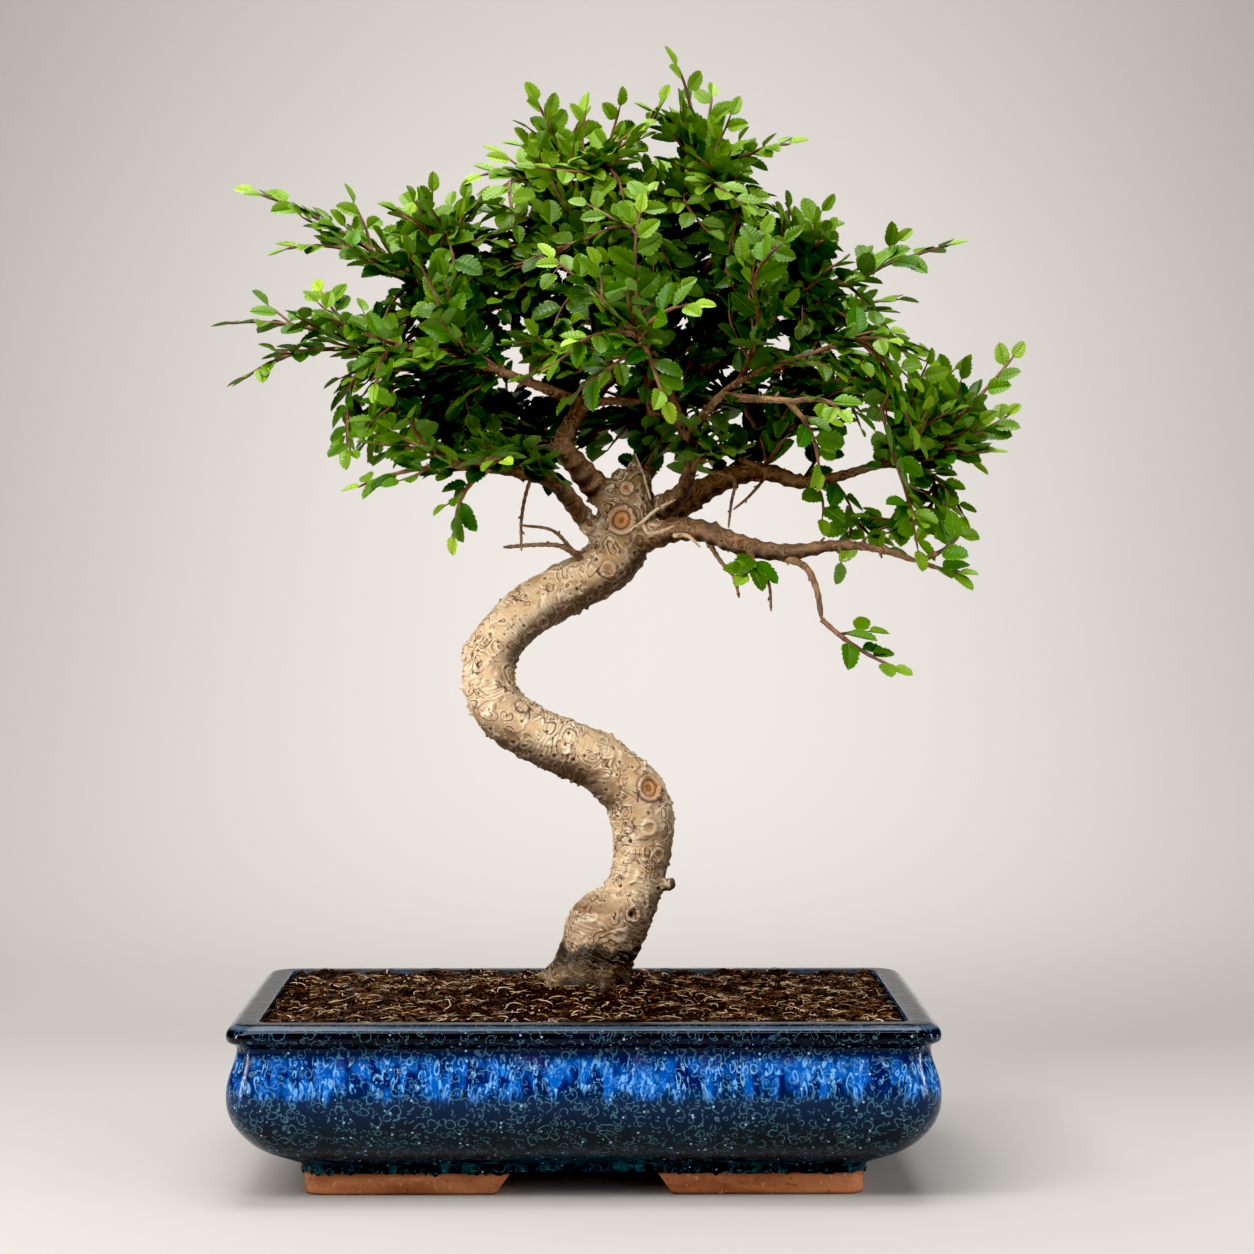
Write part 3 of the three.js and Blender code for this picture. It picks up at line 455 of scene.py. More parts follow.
def clay_finish():
    clay = Finish("fired_clay", Roughness=0.8)
    place = clay.place
    smear = place.stretch((0.4, 1, 1.4)).grain(90, 4, 0.6, 0.5)
    sand = place.grain(1100, 2, 0.7)
    flecks = place.grain(420, 2, 0.6)
    height = clay.height()
    colour = clay.mix(smear.rise(0.3, 0.72), (158, 88, 50), (212, 136, 90))
    colour = clay.mix(sand.rise(0.62, 0.75) * 0.4, colour, (236, 186, 146))
    colour = clay.mix(flecks.rise(0.64, 0.7) * 0.6, colour, (236, 182, 140))
    colour = clay.mix(flecks.rise(0.36, 0.31) * 0.5, colour, (96, 50, 26))
    colour = clay.mix(height.rise(1.6, 0.2) * 0.6, colour, (70, 36, 18))
    colour = clay.mix(height.rise(6.4, 8.6) * 0.6, colour, (62, 34, 22))
    clay.feed(Base_Color=colour, Roughness=0.62 + smear * 0.25)
    clay.bump(smear * 0.6 + sand * 0.25, CLAY_RELIEF)
    return clay.material


def model_foot():
    """The foot at the right end of the back, of a corner block with its two bars extruded from it."""
    outer_x = POT_LENGTH / 2 - FOOT_RING_INSET
    outer_y = POT_DEPTH / 2 - FOOT_RING_INSET
    block = (outer_x - FOOT_BAR / 2, outer_y - FOOT_BAR / 2, FOOT_TOP / 2)
    bpy.ops.mesh.primitive_cube_add(size=1, location=np.array(block) * MM)
    foot = bpy.context.object
    foot.scale = (FOOT_BAR * MM, FOOT_BAR * MM, FOOT_TOP * MM)
    settle()
    inner_x = (outer_x - FOOT_BAR) * MM
    inner_y = (outer_y - FOOT_BAR) * MM
    end_x = (outer_x - FOOT_LENGTH) * MM
    corner = Vector((outer_x * MM, outer_y * MM))
    near = MM / 10
    edit(
        foot, lambda vertex: abs(vertex.co.x - inner_x) < near,
        bpy.ops.mesh.extrude_region_move, TRANSFORM_OT_translate=move_by(FOOT_BAR - FOOT_LENGTH, 0, 0),
    )
    edit(
        foot, lambda vertex: abs(vertex.co.y - inner_y) < near and vertex.co.x > inner_x - near,
        bpy.ops.mesh.extrude_region_move, TRANSFORM_OT_translate=move_by(0, FOOT_BAR - FOOT_RETURN, 0),
    )
    edit(
        foot, lambda vertex: abs(vertex.co.x - end_x) < near and vertex.co.z < MM,
        bpy.ops.transform.translate, **move_by(FOOT_SLOPE, 0, 0),
    )
    edit(
        foot, lambda vertex: (vertex.co.xy - corner).length < near,
        bpy.ops.mesh.bevel, offset=FOOT_CORNER * MM, segments=6,
    )
    apply_modifier(foot, "BEVEL", width=FOOT_EDGE * MM, segments=3, limit_method="ANGLE")
    return foot


def model_feet():
    first = model_foot()
    feet = [first]
    for turn_x, turn_y in ((-1, 1), (-1, -1), (1, -1)):
        foot = first.copy()
        foot.data = first.data.copy()
        bpy.context.scene.collection.objects.link(foot)
        foot.scale = (turn_x, turn_y, 1)
        feet.append(foot)
    bpy.ops.object.select_all(action="DESELECT")
    for foot in feet:
        foot.select_set(True)
    bpy.context.view_layer.objects.active = first
    settle()
    bpy.ops.object.join()
    first.name = "clay_feet"
    first.location = in_frame((POT_X, 0, 0))
    settle()
    face_outward(first)
    bpy.ops.object.shade_smooth_by_angle(angle=math.radians(40))
    return first


feet = model_feet()
feet.data.materials.append(clay_finish())
take_over(feet, "clay", "pot")

# Glaze hem: the glaze that ran down the foot ring and froze in a thick uneven bead over the feet's tops.
# It stands a little proud of the clay and hangs lower where a drip ran.
HEM_HEIGHT = 9.6
HEM_TALL = 1.5
HEM_THICK = 1.0
HEM_RISE = 1.4
HEM_STEPS = 620
HEM_SIDES = 8


class Skin:
    """Closed shapes gathered into one mesh, with their points in millimetres from the tree's origin."""

    def __init__(self):
        self.points = []
        self.faces = []
        self.count = 0

    def add(self, points, faces):
        self.points.append(np.asarray(points, float))
        self.faces.extend([tuple(index + self.count for index in face) for face in faces])
        self.count += len(points)

    def tube(self, route, radii, sides):
        """A round tube along a route, closed at its ends, with a radius for each point."""
        self.add(*tube_shape(route, radii, sides))

    def piece(self, name, material):
        made = mesh_piece(name, self.points, self.faces, material)
        bpy.ops.object.shade_smooth_by_angle(angle=math.radians(45))
        return made


def mesh_piece(name, points, faces, material):
    """An object of these lists of points and these faces, the only one selected."""
    mesh = bpy.data.meshes.new(name)
    mesh.from_pydata(in_frame(np.concatenate(points)).tolist(), [], faces)
    made = bpy.data.objects.new(name, mesh)
    bpy.context.scene.collection.objects.link(made)
    mesh.materials.append(material)
    bpy.ops.object.select_all(action="DESELECT")
    made.select_set(True)
    bpy.context.view_layer.objects.active = made
    return made


def unit(vector):
    return vector / max(np.linalg.norm(vector), 1e-9)


def ring_faces(rows, columns, closes=False):
    """Quads over rows of points: each row turns left about the way that the rows go."""
    faces = []
    for row in range(rows if closes else rows - 1):
        low = row * columns
        high = (row + 1) % rows * columns
        for column in range(columns):
            following = (column + 1) % columns
            faces.append((low + column, low + following, high + following, high + column))
    return faces


def capped(rings):
    """The points and faces of a skin over these rings, with a face over each end."""
    sides = len(rings[0])
    last = (len(rings) - 1) * sides
    ends = [tuple(range(sides))[::-1], tuple(last + column for column in range(sides))]
    return np.concatenate(rings), ring_faces(len(rings), sides) + ends


def tube_shape(route, radii, sides):
    route = np.asarray(route, float)
    ahead = np.gradient(route, axis=0)
    side = unit(np.cross(ahead[0], (0.31, 0.59, 0.74)))
    turns = np.arange(sides) * 2 * math.pi / sides
    rows = []
    for place, way, radius in zip(route, ahead, radii):
        way = unit(way)
        side = unit(side - way * side.dot(way))
        over = np.cross(way, side)
        rows.append(place + radius * (np.outer(np.cos(turns), side) + np.outer(np.sin(turns), over)))
    return capped(rows)


def hem_place(share):
    """A place round the foot ring's rounded outline, with its outward direction."""
    half_x = POT_LENGTH / 2 - FOOT_RING_INSET
    half_y = POT_DEPTH / 2 - FOOT_RING_INSET
    corner = FOOT_RING_CORNER
    arc = corner * math.pi / 2
    sides = [2 * (half_y - corner), 2 * (half_x - corner)] * 2
    along = share * (sum(sides) + 4 * arc)
    centres = [(half_x, half_y), (-half_x, half_y), (-half_x, -half_y), (half_x, -half_y)]
    for quarter, (length, (x, y)) in enumerate(zip(sides, centres)):
        outward = quarter * math.pi / 2
        middle = np.array([math.copysign(abs(x) - corner, x), math.copysign(abs(y) - corner, y)])
        if along < length:
            facing = np.array([math.cos(outward), math.sin(outward)])
            onward = np.array([-facing[1], facing[0]])
            return middle + corner * facing - onward * (length - along), facing
        along -= length
        if along < arc:
            turn = outward + along / corner
            facing = np.array([math.cos(turn), math.sin(turn)])
            return middle + corner * facing, facing
        along -= arc
    return hem_place(0)


def model_hem():
    """A closed bead round the foot ring, thicker and lower where the glaze dripped."""
    skin = Skin()
    rows = []
    for step in range(HEM_STEPS):
        place, facing = hem_place(step / HEM_STEPS)
        on_foot = abs(place[0]) > POT_LENGTH / 2 - FOOT_RING_INSET - FOOT_LENGTH
        ripple = noise.noise((place[0] * 0.22, place[1] * 0.22, 3.1))
        drip = max(0, noise.noise((place[0] * 0.5, place[1] * 0.5, 9.7)) - 0.1) * 2.6
        tall = HEM_TALL + 0.45 * ripple + drip * 0.5
        thick = HEM_THICK + 0.25 * ripple + drip * 0.25
        height = HEM_HEIGHT - drip * 0.5 + (0 if on_foot else HEM_RISE)
        ring = []
        for column in range(HEM_SIDES):
            turn = column / HEM_SIDES * 2 * math.pi
            out = thick * math.cos(turn)
            ring.append((*(place + facing * out), height + tall * math.sin(turn)))
        rows.append(ring)
    flipped = [row[::-1] for row in rows]
    skin.add(np.concatenate(flipped) + np.array([POT_X, 0, 0]), ring_faces(HEM_STEPS, HEM_SIDES, True))
    return skin.piece("glaze_hem", bowl.data.materials[0])


hem = model_hem()
take_over(hem, "glaze", "pot")


# Drainage screens: two squares of moulded plastic mesh that keep the soil from the holes in the pot's floor.
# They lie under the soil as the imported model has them, and take only a finish here.
def screen_finish():
    screen = Finish("screen_plastic", Roughness=0.55)
    scuff = screen.place.grain(300, 3, 0.6)
    screen.feed(Base_Color=screen.mix(scuff, (24, 25, 24), (44, 46, 44)))
    screen.feed(Roughness=0.45 + scuff * 0.3)
    return screen.material


screen_plastic = screen_finish()
for name in ("screen_left", "screen_right"):
    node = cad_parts[name]
    node.data.materials.clear()
    node.data.materials.append(screen_plastic)

# Soil: a dark peaty mix pressed into the pot, level with the rim and mounded a little at the trunk.
# Curled fibres, crumbs and grit lie loose on its top, as thick as leaf litter.
SOIL_EDGE_HEIGHT = 64.4
SOIL_MOUND = 8
MOUND_REACH_X = 56
MOUND_REACH_Y = 44
SOIL_INSET = 13.4
SOIL_SPACING = 1.5
SOIL_RELIEF = 0.0016
CRUMB_SWELL = 0.7
BROAD_SWELL = 0.5
WALL_HEAP = 2.1
WALL_HEAP_REACH = 5
FOOT_REACH = 16
# Each row of the soil's side, down the pot's inside: inset and height
SOIL_WALL = [(13.4, 58), (9.4, 48), (8.4, 38), (11.4, 26), (20.4, 18), (32.4, 15.4)]
FIBRE_SHAPES = 28
FIBRE_STEPS = 6
FIBRE_LENGTHS = (4, 12)
FIBRE_BEND = 3.4
FIBRE_WAVE = 0.7
FIBRE_RADII = (0.13, 0.23)
FIBRE_SIZES = (0.7, 1.15)
TRUNK_FOOT_X = 0.4
CRUMB_SHAPES = 12
draw = np.random.default_rng(20)


def soil_height(x, y):
    """The top of the soil under a place, from the pot's own middle."""
    mound = SOIL_MOUND * np.exp(-((x / MOUND_REACH_X) ** 2 + (y / MOUND_REACH_Y) ** 2))
    crumbs = CRUMB_SWELL * np.sin(x * 0.31 + 1.3 * np.sin(y * 0.23)) * np.sin(y * 0.37 + 0.7)
    gap = np.minimum(POT_LENGTH / 2 - SOIL_INSET - np.abs(x), POT_DEPTH / 2 - SOIL_INSET - np.abs(y))
    heaped = WALL_HEAP * np.exp(-((gap / WALL_HEAP_REACH) ** 2))
    return SOIL_EDGE_HEIGHT + mound + crumbs + BROAD_SWELL * np.sin(x * 0.11 + y * 0.17) + heaped


def soil_finish():
    soil = Finish("peaty_soil", Roughness=0.95, Specular_IOR_Level=0.2)
    place = soil.place
    clods = place.grain(190, 4, 0.65)
    grains = place.grain(900, 3, 0.7)
    colour = soil.mix(clods.rise(0.35, 0.7), (11, 4, 1), (38, 18, 7))
    colour = soil.mix(grains.rise(0.55, 0.72) * 0.42, colour, (100, 66, 40))
    soil.feed(Base_Color=colour, Roughness=0.75 + grains * 0.25)
    soil.bump(clods + grains * 0.4, SOIL_RELIEF)
    return soil.material


def model_soil_bed():
    bpy.ops.mesh.primitive_grid_add(
        x_subdivisions=round((POT_LENGTH - 2 * SOIL_INSET) / SOIL_SPACING),
        y_subdivisions=round((POT_DEPTH - 2 * SOIL_INSET) / SOIL_SPACING), size=2,
    )
    bed = bpy.context.object
    bed.name = "soil_bed"
    half = np.array([POT_LENGTH / 2 - SOIL_INSET, POT_DEPTH / 2 - SOIL_INSET])
    bed.scale = (half[0] * MM, half[1] * MM, 1)
    bed.location = (0, 0, SOIL_EDGE_HEIGHT * MM)
    settle()
    edge_x, edge_y = (half - 0.1) * MM
    choose(bed, lambda vertex: abs(vertex.co.x) > edge_x or abs(vertex.co.y) > edge_y)
    before = (SOIL_INSET, SOIL_EDGE_HEIGHT)
    for inset, height in SOIL_WALL:
        bpy.ops.mesh.extrude_region_move(TRANSFORM_OT_translate=move_by(0, 0, height - before[1]))
        bpy.ops.transform.resize(value=(
            (POT_LENGTH / 2 - inset) / (POT_LENGTH / 2 - before[0]),
            (POT_DEPTH / 2 - inset) / (POT_DEPTH / 2 - before[0]), 1,
        ), center_override=(0, 0, height * MM))
        before = (inset, height)
    bpy.ops.mesh.edge_face_add()
    bpy.ops.object.mode_set(mode="OBJECT")
    for vertex in bed.data.vertices:
        x, y = vertex.co.x / MM, vertex.co.y / MM
        is_edge = abs(x) > half[0] - 0.1 or abs(y) > half[1] - 0.1
        if vertex.co.z > (SOIL_EDGE_HEIGHT - 1) * MM and not is_edge:
            rough = 1.1 * noise.noise((x * 0.4, y * 0.4, 1.7)) + 0.7 * noise.noise((x * 1.1, y * 1.1, 5.2))
            vertex.co.z = (soil_height(x, y) + rough) * MM
    bed.location = in_frame((POT_X, 0, 0))
    settle()
    face_outward(bed)
    bpy.ops.object.shade_smooth_by_angle(angle=math.radians(60))
    return bed


def on_soil(count, margin):
    """Random places on the soil's top, clear of the pot's wall and the trunk's foot."""
    half = (POT_LENGTH / 2 - SOIL_INSET - margin, POT_DEPTH / 2 - SOIL_INSET - margin)
    places = np.empty((0, 2))
    while len(places) < count:
        tried = draw.uniform(-1, 1, (count, 2)) * half
        clear = np.hypot(tried[:, 0] - TRUNK_FOOT_X, tried[:, 1]) > FOOT_REACH
        places = np.concatenate([places, tried[clear]])
    return places[:count]


def fibre_shape():
    """One curled fibre, lying flat round its own middle."""
    length = draw.uniform(*FIBRE_LENGTHS)
    bend = draw.uniform(-FIBRE_BEND, FIBRE_BEND)
    wave = draw.uniform(-FIBRE_WAVE, FIBRE_WAVE)
    share = np.linspace(0, 1, FIBRE_STEPS + 1)
    heading = bend * share + wave * np.sin(share * 2 * math.pi)
    flat = np.stack([np.cos(heading), np.sin(heading)], 1) * length / FIBRE_STEPS
    path = np.concatenate([[[0, 0]], np.cumsum(flat[:-1], axis=0)])
    path -= path.mean(axis=0)
    lift = 0.9 * np.sin(share * math.pi) * draw.uniform(0.2, 1.2)
    radius = draw.uniform(*FIBRE_RADII) * (1 - 0.55 * np.abs(2 * share - 1) ** 3)
    return tube_shape(np.column_stack([path, lift]), radius, 3)


def scatter(name, count, shapes, finish, sink, tip, size, margin):
    """Copies of the shapes over the soil: turned, tipped a little and let down by their sink."""
    skin = Skin()
    for x, y in on_soil(count, margin):
        points, faces = shapes[draw.integers(len(shapes))]
        turn = draw.uniform(0, 2 * math.pi)
        lean = draw.uniform(-tip, tip, 2)
        points = points * draw.uniform(*size)
        flat = np.column_stack([
            points[:, 0] * math.cos(turn) - points[:, 1] * math.sin(turn),
            points[:, 0] * math.sin(turn) + points[:, 1] * math.cos(turn),
        ])
        height = points[:, 2] + flat @ lean
        skin.add(np.column_stack([flat + (x + POT_X, y), height + soil_height(x, y) + sink]), faces)
    return skin.piece(name, finish)


def fibre_finish(name, dark, light):
    fibre = Finish(name, Roughness=0.7)
    along = fibre.place.grain(260, 2, 0.6)
    fine = fibre.place.grain(1500, 1, 0.5)
    colour = fibre.mix(along.rise(0.3, 0.7), dark, light)
    fibre.feed(Base_Color=fibre.mix(fine.rise(0.5, 0.7) * 0.35, colour, dark), Roughness=0.5 + fine * 0.4)
    return fibre.material


def crumb_shape():
    """An irregular crumb: a coarse ball with each corner pushed in or out."""
    bpy.ops.mesh.primitive_ico_sphere_add(subdivisions=1, radius=1)
    ball = bpy.context.object
    points = np.array([tuple(vertex.co) for vertex in ball.data.vertices])
    faces = [tuple(face.vertices) for face in ball.data.polygons]
    bpy.data.objects.remove(ball)
    points *= draw.uniform(0.6, 1.25, (len(points), 1))
    return points * (1, draw.uniform(0.6, 1), draw.uniform(0.5, 0.9)), faces


bed = model_soil_bed()
bed.data.materials.append(soil_finish())
take_over(bed, "soil", "soil")
fibres = [fibre_shape() for _ in range(FIBRE_SHAPES)]
crumbs = [crumb_shape() for _ in range(CRUMB_SHAPES)]
# What lies loose: its finish, its two colours, how many, shapes, sink, tip, sizes and distance from the wall
LITTER = {
    "soil_fibres_dark": ("dark_fibre", (20, 9, 4), (60, 33, 16), 1300, fibres, 0.5, 0.25, FIBRE_SIZES, 2.6),
    "soil_fibres_tan": ("tan_fibre", (56, 31, 15), (150, 96, 50), 1450, fibres, 0.5, 0.25, FIBRE_SIZES, 2.6),
    "soil_fibres_pale": (
        "pale_fibre", (196, 146, 92), (255, 232, 196), 760, fibres, 0.5, 0.25, FIBRE_SIZES, 2.6
    ),
    "soil_crumbs": ("crumb", (20, 10, 5), (60, 35, 18), 2600, crumbs, 0.2, 0.4, (0.5, 1.3), 1.5),
    "soil_grit": ("grit", (150, 120, 90), (236, 216, 190), 620, crumbs, 0.7, 0.4, (0.24, 0.5), 1.5),
}
for name, (finish, dark, light, count, shapes, *lie) in LITTER.items():
    take_over(scatter(name, count, shapes, fibre_finish(finish, dark, light), *lie), "soil")

# Trunk: the elm's old wood, one grown body from the roots up through the S to the ends of its thick limbs.
# Its pale bark is pitted with pores, wrinkled in the bends and ringed where branches were cut away.
# Rows of the trunk, the limbs, the bare twigs and the stub are centre x, y, z and diameter.
TRUNK = [
    (9, 0, 84, 22), (13, 0.5, 95, 23), (18, 1.2, 106, 22), (20.8, 2, 116, 21.2), (22, 2, 127, 23.2),
    (21.6, 1.5, 136, 25), (18.6, 1, 145, 24.6), (11, 0, 152.6, 22.8), (4.1, -1, 158.2, 22.5),
    (-3.7, -2, 161.7, 22), (-11.5, -3, 164.8, 21.8), (-18.9, -3.5, 168.3, 21.4), (-25.9, -4, 172.2, 21),
    (-32.2, -4, 176.9, 20.6), (-36.5, -3.5, 184, 20.2), (-38, -3, 192, 20.2), (-37.2, -2, 199.5, 20.8),
    (-32.5, -0.5, 207, 19.5), (-25, 1, 214.6, 19.8), (-14.2, 3, 221.7, 20.3), (-4.1, 5, 227.2, 20.7),
    (5, 6.5, 232.3, 21), (10.7, 8, 238, 22.5), (13.4, 8.5, 244.3, 24), (15.4, 9, 252, 23),
    (16.6, 9.5, 260, 20), (16.8, 9.5, 267, 17), (16.8, 9.5, 272, 10),
]
# Rows of the swollen foot: height, radius and middle x
FLARE_PROFILE = [
    (46, 10, 0), (51, 14, 0), (58, 17.6, 0), (65, 18.8, -0.6), (70, 17.6, -0.6), (75, 16.2, 0),
    (80, 15.6, 2.4), (85, 15.8, 5), (90, 15.8, 7), (97, 16.4, 9.4), (102, 15.4, 11), (105.6, 13, 12.4),
    (108, 8.6, 14.4),
]
FLARE_SIDES = 40
LOBE_TOP = 84
LOBE_FADE = 16
LOBE_REACH = 0.1
LIMBS = {
    "lowLeft": [
        (9, 9, 242, 10), (0, 4, 252, 7.4), (-7, -4, 261, 7), (-13, -10, 267, 6.2), (-24, -18, 270, 5),
        (-37, -24, 272, 4.2), (-51, -30, 273, 3.2),
    ],
    "leftArm": [
        (14, 10, 256, 14), (3, 3, 266, 10.6), (-4, -3, 274, 8.8), (-9, -6, 281, 7.8), (-6, -4, 289, 6.6),
        (-1, 0, 297, 6.2), (6, 4, 304, 5.6), (10, 6, 309, 4.8), (4, 0, 319, 3.6), (-6, -6, 330, 2.8),
    ],
    "leftBack": [
        (-7, -4, 281, 6.4), (-19, 10, 285, 5.4), (-32, 24, 290, 4.8), (-43, 34, 300, 4.2),
        (-54, 40, 309, 3.6), (-66, 42, 315, 3), (-80, 40, 318, 2.6),
    ],
    "leftRise": [
        (-31, 23, 290, 4.4), (-37, 20, 300, 3.8), (-42, 14, 312, 3.4), (-50, 6, 326, 2.8),
        (-62, 0, 340, 2.4),
    ],
    "leftFront": [
        (-1, 0, 297, 5), (-12, -16, 301, 4), (-26, -30, 306, 3.4), (-44, -36, 312, 3),
        (-64, -32, 316, 2.6),
    ],
    "crown": [
        (18, 12, 262, 12), (24, 20, 278, 9.4), (28, 19, 292, 8.4), (26, 12, 305, 7.6), (21, 4, 315, 4.8),
        (14, -4, 322, 3.8), (9, -8, 331, 3.2), (5, -8, 340, 2.9), (2, -4, 352, 2.6), (-2, 0, 363, 2.2),
        (-5, 4, 376, 2),
    ],
    "crownRight": [
        (27, 14, 303, 6), (28, 20, 316, 4.6), (30, 24, 332, 4), (33, 24, 347, 3.4), (38, 20, 363, 2.8),
        (42, 16, 377, 2.2),
    ],
    "rightLeader": [
        (30, 10, 257, 10), (38, 2, 264, 6.4), (40, -6, 273, 5.6), (39, -8, 282, 5.2), (36, -7, 291, 4),
        (33, -2, 302, 3.4), (30, 2, 314, 2.6),
    ],
    "rightFork": [
        (39, -8, 281, 4.6), (45, -14, 292, 3.4), (52, -20, 300, 3), (62, -26, 307, 2.7),
        (73, -30, 311, 2.4), (86, -30, 315, 2),
    ],
    "rightArm": [
        (14, 10, 250, 15), (26, 13, 253, 12), (37, 16, 258, 10.6), (49, 18, 265.5, 9.2),
        (61, 18, 270.5, 8.2), (72, 16, 271, 7), (84, 10, 267, 5.2), (98, 4, 269, 4), (112, 0, 273, 3),
        (127, -3, 275, 2.4),
    ],
    "lowRight": [
        (12, 7, 243, 14), (25, 4, 246, 11), (36, -2, 248.5, 9), (46, -8, 247.5, 8.2), (58, -14, 243, 7.8),
        (70, -18, 240, 6.8), (82, -20, 240, 5.8), (94, -20, 242, 4.4), (105, -21, 242, 3.3),
        (117, -23, 239.5, 2.6), (127, -25, 236, 2.2),
    ],
    "lowRightDrop": [
        (72, -18, 239, 4), (84, -23, 234, 2.6), (88, -26, 226, 2.4), (90, -28, 214, 2),
    ],
    "rightHigh": [
        (28, 20, 297, 5), (41, 21, 306, 4.2), (54, 20, 319, 3.6), (69, 18, 330, 3), (84, 14, 339, 2.4),
    ],
    "front": [
        (26, 12, 305, 5.4), (27, -6, 309, 4.4), (26, -24, 313, 3.8), (23, -42, 317, 3.2),
        (20, -58, 320, 2.6),
    ],
    "frontRight": [
        (52, -20, 300, 3.4), (60, -36, 298, 3), (68, -50, 297, 2.6), (78, -60, 296, 2.2),
    ],
    "back": [
        (27, 20, 288, 6), (24, 36, 296, 4.6), (18, 52, 304, 3.8), (10, 66, 312, 3.2), (0, 78, 320, 2.6),
    ],
    "backRight": [
        (56, 19, 268, 6), (66, 34, 278, 4.6), (76, 48, 290, 3.8), (84, 58, 303, 3.2), (88, 64, 318, 2.6),
    ],
}
BARE = [
    [(46, -8, 246, 2.2), (52, -12, 236, 1.5), (57, -14, 230, 1.3), (59, -15, 222, 1.1)],
    [(57, -14, 243, 2.2), (66, -17, 233, 1.5), (70, -20, 228, 1.3), (71, -22, 217, 1.1)],
    [(0, 3, 236, 3), (-10, -8, 242, 1.9), (-18, -10, 242.5, 1.6), (-32, -12, 241.5, 1.4)],
    [(-1, 0, 296, 4), (6, -4, 298, 3.2), (21, -8, 298, 2.8)],
    [(26, 12, 304, 6), (27.5, 10, 312, 4), (28.5, 8, 320, 1.6)],
    [(0, 2, 233, 2), (-6, -5, 241, 1.6), (-13, -8, 248, 1.2), (-25, -10, 250, 1)],
    [(-18, -14, 276, 1.6), (-23, -13, 263, 1.3), (-25, -12, 252, 1.2), (-25, -12, 240, 0.9)],
    [(44, -6, 272, 2), (57, -10, 268, 1.4), (56, -11, 258, 1.2), (55, -11, 249, 0.9)],
    [(60, 8, 276, 2), (70, 2, 271, 1.4), (64, -4, 262, 1.2), (57, -7, 256, 0.9)],
]
STUB = [(22, 0, 109, 7), (30, -3, 110, 5.4), (34.4, -4.4, 110.8, 4.4)]
STUB_END = 32.5
STUB_TOP = 118
# Surface roots, from inside the foot down into the soil
ROOTS = [
    [(-3, -5, 84, 8), (-8, -9, 77, 7.4), (-13, -12, 72, 6), (-19, -14, 67, 4)],
    [(-4, 3, 86, 8), (-11, 5, 77, 7), (-17, 7, 71.5, 5.4), (-24, 9, 66, 3)],
    [(5, -9, 82, 8), (6, -13, 76, 7), (7, -17, 70.5, 5), (8, -23, 66, 3)],
    [(10, -4, 84, 8), (13, -6, 76, 7), (17, -8, 70.5, 5), (23, -10, 66, 3)],
    [(8, 7, 84, 8), (11, 11, 76, 7), (14, 16, 70, 5), (17, 22, 66, 3)],
    [(0, 8, 84, 8), (-2, 13, 76, 7), (-5, 18, 70, 5), (-7, 24, 66, 3)],
]
# Cut scars and branch rings: x, y, z of the middle, radius, depth of the hole, and how orange the wood is
KNOTS = [
    (25, -10, 148.5, 4.6, 0.8, 0.9), (18, -14, 99.7, 2.6, 2.6, 0.2), (24, -9, 133, 2.8, 0.3, 0.2),
    (-24, -14, 181, 3.2, 0.8, 0.5), (13.6, -4, 252.5, 5.2, 0.4, 1.0), (-47.5, -4, 200.5, 3, 0.3, 0.3),
    (-16.6, -7, 212, 2.4, 0.8, 0.3), (15.6, -2, 265, 3.4, 0.4, 0.9), (8.4, -3, 233, 2.6, 0.4, 0.3),
    (28, -8, 122, 2.6, 0.5, 0.1), (12, -13, 92, 3.2, 0.4, 0), (3, -13, 98, 2.2, 1.2, 0),
]
TRUNK_STEP = 2.0
TRUNK_SIDES = 28
LIMB_SIDES = 14
LIMB_JOINT = 12
LIMB_SWELL = 0.2
THIN_RADIUS = 2.0
VOXEL = 0.62
BURIED_HEIGHT = 66
SPARE_REACH = 1.7
SPARE_SHARE = 0.66
FLARE_TOP = 100
PORE_SPACING = 5.8
PORE_TRIES = 5200
PORE_REACH = 2.4
PORE_SIZES = (0.4, 0.85)
PORE_DEPTH = 0.7
PORE_RIM = 0.3
NUB_SHARE = 0.36
NUB_GROWTH = 1.35
NUB_HEIGHT = 1.15
CREASE_PITCH = 3.0
WRINKLE_PITCH = 1.5
BARK_RELIEF = 0.0008
# The marks that the bark's finish reads; under carries its painted underside shade.
BARK_MARKS = ("pore", "ridge", "scar", "cut", "furrow", "limb", "under", "along", "bend")
trunk_draw = np.random.default_rng(31)


def reach_along(path):
    """How far along its length each of the path's points lies."""
    return np.concatenate([[0], np.cumsum(np.linalg.norm(np.diff(path, axis=0), axis=1))])


def between(first, second, start, end, now):
    """The value at this moment, on the line from the first value at the start to the second at the end."""
    return (end - now) / (end - start) * first + (now - start) / (end - start) * second


def curve_through(rows, step=1.0):
    """A smooth curve through the rows' places, with points about a step apart, and the radius at each."""
    rows = np.asarray(rows, float)
    places = rows[:, :3]
    knots = np.vstack([2 * places[0] - places[1], places, 2 * places[-1] - places[-2]])
    path = []
    for first in range(len(knots) - 3):
        p = knots[first:first + 4]
        t = np.concatenate([[0], np.cumsum(np.linalg.norm(np.diff(p, axis=0), axis=1) ** 0.5)])
        count = max(2, round(np.linalg.norm(p[2] - p[1]) / step * 2))
        u = np.linspace(t[1], t[2], count, endpoint=False)[:, None]
        a = [between(p[i], p[i + 1], t[i], t[i + 1], u) for i in range(3)]
        b = [between(a[i], a[i + 1], t[i], t[i + 2], u) for i in range(2)]
        path.append(between(b[0], b[1], t[1], t[2], u))
    path = evenly(np.concatenate([*path, places[-1:]]), step)
    reach = reach_along(places)
    share = np.linspace(0, 1, len(path))
    return path, np.interp(share * reach[-1], reach, rows[:, 3]) / 2


